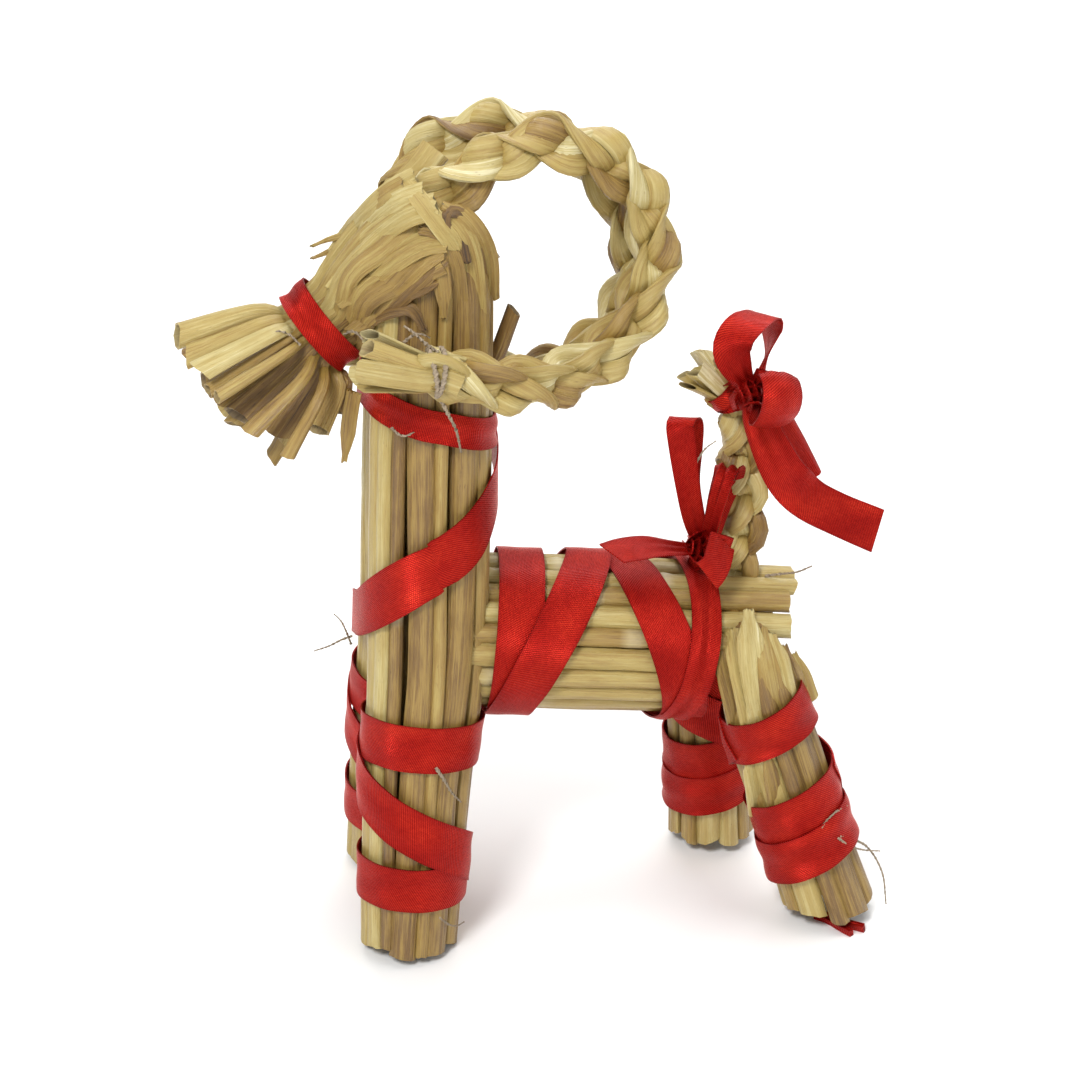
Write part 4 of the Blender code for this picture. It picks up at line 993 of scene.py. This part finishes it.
def body_bundle(look, body):
    piece = Piece("body_straws", look, "straw", ["body_bundle"])
    rng = random.Random(21)
    girth = 2 * math.pi * (BODY_RADIUS - 0.0021)
    chosen = (0.0044, 0.0042, 0.0046, 0.0050, 0.0038, 0.0048, 0.0046, 0.0042, 0.0046)
    ends = (0.0755, 0.0750, 0.0735, 0.0735, 0.0690, 0.0530, 0.0515, 0.0510, 0.0500)
    for i, (angle, width) in enumerate(widths_round(girth, chosen, rng, 0.0036, 0.0050)):
        turn = math.radians(82) + angle
        last = ends[i] if i < len(ends) else body.length - rng.uniform(0, 0.010)
        if i >= len(ends) and math.sin(turn) < -0.55:
            last = 0.0520 - rng.uniform(0, 0.003)
        lay_straw(
            piece, body, rng.uniform(0.001, 0.004), last, turn, width * 1.08, rng, drift=0.03,
            flat=rng.uniform(0.66, 0.98), tone=rng.uniform(0.36, 0.80), cut=0.2,
            joints=BODY_JOINTS.get(i, [rng.uniform(0.2, 0.85)] if rng.random() < 0.5 else ()),
            dent=rng.choice((0, 0.1, 0.2, 0.35)),
        )
    # The core straws are real, but their darker tones are painted shade for the gaps between the outer
    # straws.
    for share, count, last in ((0.62, 10, 0.050), (0.25, 4, 0.050)):
        for i in range(count):
            turn = 2 * math.pi * (i + rng.uniform(0, 0.3)) / count
            reach = 0.0715 if math.sin(turn) > 0.35 and share > 0.5 else last
            lay_straw(
                piece, body, 0.006, reach - rng.uniform(0, 0.003), turn, rng.uniform(0.0044, 0.0054), rng,
                share=share, tone=rng.uniform(0.25, 0.5), cut=0.15, step=0.006,
            )
    return piece


# Broad leaves over the near hind leg, from under its ribbon up to their torn tops: marks, width, tone, tip
HIND_LEAVES = (
    (((741, 736, -20.8), (733, 700, -23.0), (725, 668, -22.4), (719, 640, -20.5)), 4.6, 0.36, 0.40),
    (((755, 734, -22.8), (746, 696, -24.6), (739, 662, -24.2), (735, 630, -22.2)), 5.0, 0.60, 0.20),
    (((765, 728, -23.0), (757, 690, -25.4), (752, 650, -25.0), (749, 610, -22.6)), 5.8, 0.76, 0.25),
    (((779, 722, -22.9), (772, 686, -25.2), (766, 654, -24.9), (763, 628, -23.2)), 4.8, 0.46, 0.45),
    (((791, 716, -22.2), (784, 684, -24.6), (777, 656, -24.4), (771, 634, -22.8)), 5.2, 0.66, 0.30),
    (((803, 708, -20.4), (796, 682, -23.0), (789, 660, -23.0), (784, 645, -21.8)), 4.2, 0.34, 0.45),
    (((812, 700, -17.8), (805, 680, -20.6), (799, 664, -20.8), (794, 654, -20.0)), 3.6, 0.52, 0.50),
    (((748, 700, -22.3), (743, 676, -24.2), (746, 652, -24.6), (755, 634, -24.0)), 2.6, 0.18, 0.60),
    (((759, 812, -26.8), (756, 790, -27.8), (753, 770, -27.0), (752, 756, -25.2)), 4.4, 0.72, 0.20),
    (((777, 806, -27.0), (773, 782, -27.9), (768, 760, -27.0), (765, 748, -25.4)), 3.6, 0.40, 0.50),
)


def hind_bundle(look, hind):
    piece = Piece("hind_straws", look, "straw", ["hind_bundle"])
    rng = random.Random(31)
    girth = 2 * math.pi * (HIND_LEG_RADIUS - 0.0019)
    for angle, width in widths_round(girth, (), rng, 0.0032, 0.0056):
        near = foot_start(hind, angle, width) + rng.uniform(0, 0.0030)
        far = foot_start(hind, angle, width, True) - rng.uniform(0, 0.0020)
        lay_straw(
            piece, hind, near, far, angle, width * 1.10, rng, flat=rng.uniform(0.50, 0.9),
            tone=rng.uniform(0.28, 0.72), cut=0.3, drift=0.04, dent=rng.choice((0, 0.15, 0.3, 0.4)),
        )
    # The core straws are real, but their darker tones are painted shade for the gaps between the outer
    # straws.
    for share, count in ((0.5, 5), (0.03, 1)):
        for i in range(count):
            turn = 2 * math.pi * i / count
            start = 0.0042 + rng.uniform(0, 0.002)
            lay_straw(
                piece, hind, start, hind.length - 0.0025, turn, 0.0046, rng, share=share,
                tone=rng.uniform(0.25, 0.5), step=0.005,
            )
    out = (0.1, -0.9, 0.35)
    for i, (marks, width, tone, tip) in enumerate(HIND_LEAVES):
        lifts = (-1.8, 0.4, 0.5) if i < 8 else (-0.8, 0.3, -0.8)
        placed_leaf(piece, marks, width * MM, rng, (hind,), lifts, out=out, tone=tone, tip=tip, arch=0.20)
    return piece


def braid(piece, spine, end, period, rng, half=0.0039):
    """A three-strand braid along a spine; each strand is two flattened straws, folded over at the edges."""
    s = np.linspace(0, end, round(end / 0.0011))
    straws = 2
    centre, _, side, up, wide, high = spine.frame(s)
    for strand in range(3):
        turn = 2 * math.pi * (s / period + strand / 3)
        over = 0.50 * wide * np.sin(2 * turn)
        swing = 0.50 * high * np.sin(turn)
        middle = centre + side * over[:, None] + up * swing[:, None]
        roll = turn - 0.42 * np.sin(2 * turn)
        normal = unit(side * np.cos(roll)[:, None] + up * np.sin(roll)[:, None])
        _, across, normal = axes(middle, normal)
        for k in range(straws):
            offset = (k - (straws - 1) / 2) / straws * 2
            width = 2 * half / straws * rng.uniform(1.08, 1.30)
            wander = 0.10 * half * np.sin(s / 0.006 + rng.uniform(0, 6))
            lift = rng.uniform(-0.00025, 0.00025) + 0.00022 * np.sin(s / 0.005 + rng.uniform(0, 6))
            path = middle + across * (offset * half * 0.92 + wander)[:, None] + normal * lift[:, None]
            straw(
                piece, path, normal, width, rng, flat=rng.uniform(0.34, 0.50), tone=rng.uniform(0.28, 0.84),
                ends=(0, 0), dent=rng.choice((0.1, 0.25, 0.4)),
            )


def tuft(piece, spine, tie, rng, count=9, width=0.0036):
    """The cut straws that stand out of a braid's tie."""
    for i in range(count):
        angle = 2 * math.pi * (i + rng.uniform(0, 0.5)) / count
        share = 1.0 if i % 3 else 0.45
        end = spine.length + rng.uniform(-0.004, 0.001)
        lay_straw(
            piece, spine, tie - 0.006, end, angle, width * rng.uniform(0.9, 1.4), rng, share=share,
            flat=rng.uniform(0.22, 0.5), tone=rng.uniform(0.5, 0.95), cut=0.6, ends=(0, 1), step=0.0015,
        )


def ring_route(middle, tilt=0.0, lead=math.pi / 2, count=24):
    angles = [2 * math.pi * i / count for i in range(count)]
    return [(middle + tilt * math.cos(angle - lead), angle) for angle in angles]


def helix_route(start, end, first, last, count):
    return [(start + (end - start) * i / count, first + (last - first) * i / count) for i in range(count + 1)]


def legs_ribbons(look, left, right, hind):
    made = []
    front_turns = (0.0172, 0.0475)
    hind_turns = (0.0180, 0.0266, hind.length / 2 - 0.0267)
    far_turns = tuple(hind.length - turn for turn in hind_turns)
    plans = (
        ("left_front_leg", left, front_turns, 0.0, (115, 367)),
        ("right_front_leg", right, front_turns, 0.0, (115, 367)),
        ("left_hind_leg", hind, hind_turns, 0.0019, (190, -10)),
        ("right_hind_leg", hind, far_turns, -0.0019, (190, -10)),
    )
    for number, (name, spine, heights, tilt, spiral) in enumerate(plans):
        rng = random.Random(40 + number)
        piece = Piece(name + "_satin", look, "red_satin", [name + "_ribbon"])
        for i, height in enumerate(heights):
            outer = len(heights) == 3 and i == 0
            route = ring_route(height, tilt, 0.0)
            band(piece, spine, route, rng, 1 if outer else 0, closed=True, fold=1.6 if outer else 0.6)
        first, last = (math.radians(angle) for angle in spiral)
        inset = (heights[-1] - heights[-2]) * 0.06
        route = helix_route(heights[-1] - inset, heights[-2] + inset, first, last, 20)
        band(piece, spine, route, rng, 1, fold=0.8)
        made.append(piece)
    return made


def neck_ribbons(look, neck, head):
    rng = random.Random(51)
    muzzle = Piece("muzzle_satin", look, "red_satin", ["muzzle_ribbon"])
    band(muzzle, head, ring_route(head.length - MUZZLE_LENGTH), rng, 1, 0.0058, closed=True, fold=1.5)
    piece = Piece("neck_satin", look, "red_satin", ["neck_ribbon"])
    collar = ring_route(COLLAR_HEIGHT, 0.0042, math.pi)
    band(piece, neck, collar, rng, 0, 0.0063, closed=True, fold=1.8)
    first, last = math.radians(330), math.radians(125)
    top, bottom = 0.0990, 0.0582
    join = helix_route(COLLAR_HEIGHT, top, first + math.pi / 2, first, 10)
    band(piece, neck, join[:-1] + helix_route(top, bottom, first, last, 24), rng, 1)
    return [muzzle, piece]


def body_ribbons(look, body):
    rng = random.Random(61)
    piece = Piece("body_satin", look, "red_satin", ["body_ribbon"])
    turns = (
        (0.0170, 0.0016, 0.0, 1.0, 0.3),
        (0.0241, 0.0084, math.radians(60), 1.0, 0.3),
        (0.0455, -0.0077, math.radians(60), 1.0, 0.3),
        (0.0515, 0.0029, math.radians(142), 0.65, 2.0),
    )
    for i, (s, tilt, lead, share, fold) in enumerate(turns):
        route = ring_route(s, tilt, lead, 36)
        band(piece, body, route, rng, i % 2, RIBBON_WIDTH * share, closed=True, fold=fold)
    front, up = (-0.15, -0.9, 0.4), (0, -0.25, 1)
    bow_loop(
        piece,
        (
            (703, 552, -4, front, 0.45), (694, 520, -5, front, 0.80), (687, 482, -6, front, 0.90),
            (682, 444, -7, front, 1.0), (680, 424, -7, (-0.2, -0.6, 0.8), 1.0),
            (685, 417, -5, (0, 0.1, 1), 1.0), (690, 424, -2, (0.3, 0.9, 0.3), 1.0),
            (690, 446, -1, (0.3, 0.95, -0.1), 0.95), (690, 482, 0, (0.2, 0.95, 0), 0.75),
            (698, 520, -1, (0.2, 0.95, 0), 0.55), (704, 552, -2, (0.2, 0.9, 0), 0.35),
        ),
        rng,
        width=0.0056,
    )
    bow_loop(
        piece,
        (
            (705, 552, -4, front, 0.35), (709, 530, -6, (-0.8, -0.6, 0.1), 0.5),
            (716, 500, -7, (-0.85, -0.5, 0.2), 0.6), (724, 474, -7, (-0.7, -0.4, 0.6), 0.65),
            (730, 466, -4, (0.2, 0.2, 1), 0.65), (728, 480, -1, (0.8, 0.5, 0), 0.6),
            (718, 510, -1, (0.8, 0.5, 0), 0.5), (706, 550, -2, (0.8, 0.5, 0), 0.35),
        ),
        rng,
    )
    bow_loop(
        piece,
        (
            (700, 546, -4, front, 0.4), (712, 548, -8, front, 0.75),
            (722, 540, -11, (0.3, -0.9, 0.3), 0.9), (716, 566, -15, (0.3, -0.9, 0.2), 1.0),
            (707, 576, -16, (0.2, -0.9, 0.4), 1.0),
        ),
        rng,
        width=0.0070,
    )
    bow_loop(
        piece,
        (
            (702, 550, -4, up, 0.35), (682, 548, -6, up, 0.7), (655, 546, -8, up, 0.9),
            (628, 549, -9, up, 1.0), (612, 553, -11, up, 1.0),
        ),
        rng,
        width=0.0080,
    )
    wraps = (
        ((690, 556, -1), (697, 545, -7), (706, 541, -6), (714, 549, -3), (708, 558, -6)),
        ((692, 545, 1), (697, 552, -7), (704, 559, -8), (713, 556, -4), (712, 545, -1)),
        ((698, 538, -1), (703, 545, -8), (701, 556, -8), (696, 562, -3)),
    )
    for marks in wraps:
        strap(piece, [(seen(*mark), unit((-0.1, -0.8, 0.6)), 0.42) for mark in marks], rng, pleats=0.9)
    return piece


def tail_ribbons(look, tail):
    rng = random.Random(62)
    piece = Piece("tail_satin", look, "red_satin", ["tail_ribbon"])
    middle = tail.length - TAIL_TUFT_LENGTH - TAIL_TIE_WIDTH / 2
    band(piece, tail, ring_route(middle), rng, 0, TAIL_TIE_WIDTH, closed=True, fold=3.0)
    near = (-0.1, -0.95, 0.3)
    bow_loop(
        piece,
        (
            (748, 388, -9, near, 0.35), (738, 370, -11, near, 0.8), (732, 352, -12, near, 1.0),
            (737, 334, -12, (-0.4, -0.8, 0.5), 1.0), (752, 319, -10, (-0.3, -0.5, 0.9), 1.0),
            (765, 314, -6, (0.3, 0.2, 1), 1.0), (771, 326, -4, (0.9, 0.3, 0.2), 1.0),
            (769, 350, -5, (0.9, -0.1, 0), 0.9), (762, 372, -7, (0.8, -0.3, 0), 0.6),
            (754, 390, -8, near, 0.35),
        ),
        rng,
        width=0.0076,
    )
    bow_loop(
        piece,
        (
            (755, 392, -8, near, 0.35), (768, 380, -10, (0.2, -0.95, 0.2), 0.7),
            (778, 376, -13, (0.3, -0.6, 0.8), 0.95), (783, 392, -16, (0.35, -0.95, 0.1), 1.0),
            (780, 412, -16, (0.3, -0.9, -0.3), 1.0), (770, 424, -13, (0, -0.3, -1), 0.95),
            (764, 410, -9, (-0.6, 0.5, -0.3), 0.7), (757, 394, -8, (-0.6, 0.4, 0.3), 0.35),
        ),
        rng,
        bend=0.10,
    )
    bow_loop(
        piece,
        (
            (752, 394, -7, near, 0.35), (758, 418, -8, (-0.5, -0.85, 0.2), 0.7),
            (770, 446, -9, (-0.45, -0.9, 0.1), 0.85), (786, 476, -9, (-0.35, -0.9, 0.2), 0.95),
            (808, 498, -8, (-0.1, -0.8, 0.6), 1.0), (838, 514, -8, (0, -0.8, 0.6), 1.0),
            (878, 531, -8, (0.05, -0.85, 0.5), 1.0),
        ),
        rng,
    )
    bow_loop(
        piece,
        (
            (758, 394, -6, near, 0.35), (776, 420, -5, (0.2, -0.95, 0.1), 0.7),
            (790, 444, -4, (0.4, -0.9, 0.1), 0.8), (803, 466, -3, (0.5, -0.8, 0.2), 0.8),
            (811, 482, -3, (0.5, -0.8, 0.2), 0.8),
        ),
        rng,
    )
    wraps = (
        ((733, 392, -5), (741, 389, -9), (750, 393, -11), (757, 389, -9)),
        ((738, 402, -6), (745, 396, -11), (755, 394, -12), (762, 399, -8)),
        ((744, 385, -5), (750, 388, -12), (753, 397, -12), (750, 406, -7)),
    )
    for marks in wraps:
        strap(piece, [(seen(*mark), unit((0, -0.9, 0.4)), 0.40) for mark in marks], rng, pleats=0.9)
    return piece


# Loose threads and fibres, none longer than 28 mm: marks, diameter in millimetres, tone
LOOSE_THREADS = (
    (((437, 352, -25.5), (426, 344, -26), (414, 333, -25.5), (404, 326, -24)), 0.9, 0.55),
    (((440, 398, -26.5), (448, 414, -27), (456, 430, -26.5), (461, 452, -25)), 0.9, 0.45),
    (((404, 342, -18), (412, 336, -19), (421, 334, -19.5), (430, 338, -19)), 0.7, 0.60),
    (((345, 334, -9.5), (352, 331, -11), (360, 336, -12), (366, 346, -12)), 0.7, 0.50),
    (((300, 345, -9.5), (290, 335, -10), (279, 331, -10), (269, 333, -9)), 0.6, 0.60),
    (((392, 428, -17.5), (398, 434, -19), (406, 436, -19.5), (414, 432, -19)), 0.7, 0.50),
    (((436, 768, -26.5), (444, 780, -27.5), (452, 793, -27.5), (461, 802, -26)), 0.8, 0.50),
    (((440, 918, -26), (448, 924, -27), (456, 926, -27), (464, 922, -26)), 0.6, 0.55),
    (((846, 806, -27), (836, 812, -28.5), (824, 824, -29), (816, 842, -28.5)), 0.7, 0.50),
    (((838, 838, -27.5), (850, 846, -28), (864, 850, -27), (880, 851, -25)), 0.6, 0.60),
    (((690, 478, -5), (697, 462, -6), (705, 449, -6.5), (716, 441, -6)), 0.6, 0.60),
    (((840, 836, -26), (866, 846, -26), (882, 872, -26), (886, 904, -25)), 0.7, 0.55),
    (((352, 636, -2), (341, 640, -3), (329, 646, -3), (314, 651, -2)), 0.6, 0.35),
    (((351, 644, -2), (346, 631, -3), (341, 621, -3), (334, 614, -2)), 0.6, 0.40),
    (((765, 576, -4), (780, 574, -5), (797, 572, -6), (812, 566, -6)), 0.7, 0.20),
)

# The frayed end of the ribbon under the near hind foot: pixel u, pixel v and height in millimetres
FRAYED_ENDS = (
    (((816, 914, 0.8), (831, 920, 0.6), (846, 925, 0.5), (864, 929, 0.8)), 0.9),
    (((818, 915, 0.8), (832, 922, 0.6), (844, 930, 0.5), (852, 934, 0.5)), 0.6),
)


def loose_threads(look, left, hind):
    piece = Piece("loose_threads", look, "twine")
    rng = random.Random(91)
    for marks, diameter, tone in LOOSE_THREADS:
        # The lowest ones lie on a leg
        low = marks[0][1] > 760
        carrier = hind if marks[0][0] > 700 else left
        points = [resting(mark, (carrier,), 0.0014) if low else np.array(seen(*mark)) for mark in marks]
        thread(piece, points, diameter * MM, rng, 0.0026, tone=tone, taper=0.5)
    return piece


def frayed_end(look):
    piece = Piece("frayed_end", look, "red_satin")
    rng = random.Random(93)
    for marks, diameter in FRAYED_ENDS:
        points = []
        for u, v, height in marks:
            far, near = seen(u, v, 0), seen(u, v, -40)
            points.append(far + (near - far) * (height * MM - far[2]) / (near[2] - far[2]))
        shares = diameter * np.array((0.26, 0.22, 0.17, 0.10))
        strap(piece, [(point, unit((0, -0.3, 1)), share) for point, share in zip(points, shares)], rng)
    return piece


def main():
    straw_look, satin, hemp = straw_material(), ribbon_material(), twine_material()
    left, right = front_half(-1, 0.0176), front_half(1, 0.0208)
    neck, head, body = whole_neck(left, right), head_spine(), body_spine()
    hind, tail = hind_spine(body), tail_spine(body)
    near_horn = horn_spine(-1, (0.0005, 0.1455, 0.0220, math.radians(128), math.radians(33)), neck)
    far_horn = horn_spine(1, (-0.0065, 0.1400, 0.0275, math.radians(124), math.radians(70)), neck)
    pieces = [front_bundle(straw_look, left, right), body_bundle(straw_look, body)]
    pieces.append(hind_bundle(straw_look, hind))
    for name, horn, seed in (("left", near_horn, 71), ("right", far_horn, 72)):
        rng = random.Random(seed)
        piece = Piece(name + "_horn_straws", straw_look, "straw", [name + "_horn"])
        tie = horn.length - HORN_TUFT_LENGTH
        braid(piece, horn, tie + 0.001, 0.0350, rng)
        tuft(piece, horn, tie, rng)
        pieces.append(piece)
        twine = Piece(name + "_horn_tie", hemp, "twine", [name + "_horn_twine"])
        s = np.linspace(tie - 0.0028, tie - 0.0005, 40)
        turn = np.linspace(0, 4 * math.pi, 40)
        thread(twine, horn.point(s, turn, 0.0007), 0.0010, rng, 0.0028)
        pieces.append(twine)
    rng = random.Random(73)
    piece = Piece("tail_straws", straw_look, "straw", ["tail"])
    tie = tail.length - TAIL_TUFT_LENGTH
    braid(piece, tail, tie, 0.0260, rng, 0.0034)
    tuft(piece, tail, tie, rng, 8, 0.0034)
    pieces.append(piece)
    pieces += legs_ribbons(satin, left, right, hind)
    pieces += neck_ribbons(satin, neck, head)
    pieces.append(body_ribbons(satin, body))
    pieces.append(tail_ribbons(satin, tail))
    pieces.append(head_piece(straw_look, left, head))
    pieces += [loose_threads(hemp, left, hind), frayed_end(satin)]
    for piece in pieces:
        piece.finish()


def studio():
    scene = bpy.context.scene
    scene.view_settings.view_transform = "Standard"
    scene.view_settings.look = "None"
    floor_mesh = bpy.data.meshes.new("floor")
    size = 3.0
    corners = [(-size, -size, 0), (size, -size, 0), (size, size, 0), (-size, size, 0)]
    floor_mesh.from_pydata(corners, [], [(0, 1, 2, 3)])
    floor = bpy.data.objects.new("floor", floor_mesh)
    scene.collection.objects.link(floor)
    look = Look("floor_look")
    look.shade(Base_Color=(0.95, 0.95, 0.945), Roughness=0.9)
    floor_mesh.materials.append(look.made)
    world = bpy.data.worlds.new("studio")
    world.use_nodes = True
    world.node_tree.nodes["Background"].inputs["Color"].default_value = (1.0, 1.0, 1.0, 1)
    world.node_tree.nodes["Background"].inputs["Strength"].default_value = 0.50
    scene.world = world
    lights = (
        ("key", (-0.40, -0.70, 0.85), 0.30, 8.5),
        ("top", (0.15, 0.10, 1.00), 0.60, 4.0),
        ("fill", (0.75, -0.55, 0.35), 0.40, 1.2),
        ("floor_light", (0.10, 1.25, 0.85), 1.20, 12.0),
    )
    for name, place, across, power in lights:
        light = bpy.data.lights.new(name, "AREA")
        light.shape = "DISK"
        light.size = across
        light.energy = power
        lamp = bpy.data.objects.new(name, light)
        lamp.location = place
        aim = Vector((0.05, 1.1, 0)) if name == "floor_light" else Vector((0, 0, 0.08))
        lamp.rotation_euler = (aim - Vector(place)).to_track_quat("-Z", "Y").to_euler()
        scene.collection.objects.link(lamp)
    data = bpy.data.cameras.new("camera")
    data.lens = LENS
    data.sensor_width = SENSOR
    data.sensor_fit = "HORIZONTAL"
    data.clip_start = 0.01
    camera = bpy.data.objects.new("camera", data)
    camera.location = CAMERA_PLACE
    camera.rotation_euler = Vector(-BACK).to_track_quat("-Z", "Y").to_euler()
    scene.collection.objects.link(camera)
    scene.camera = camera


main()
studio()
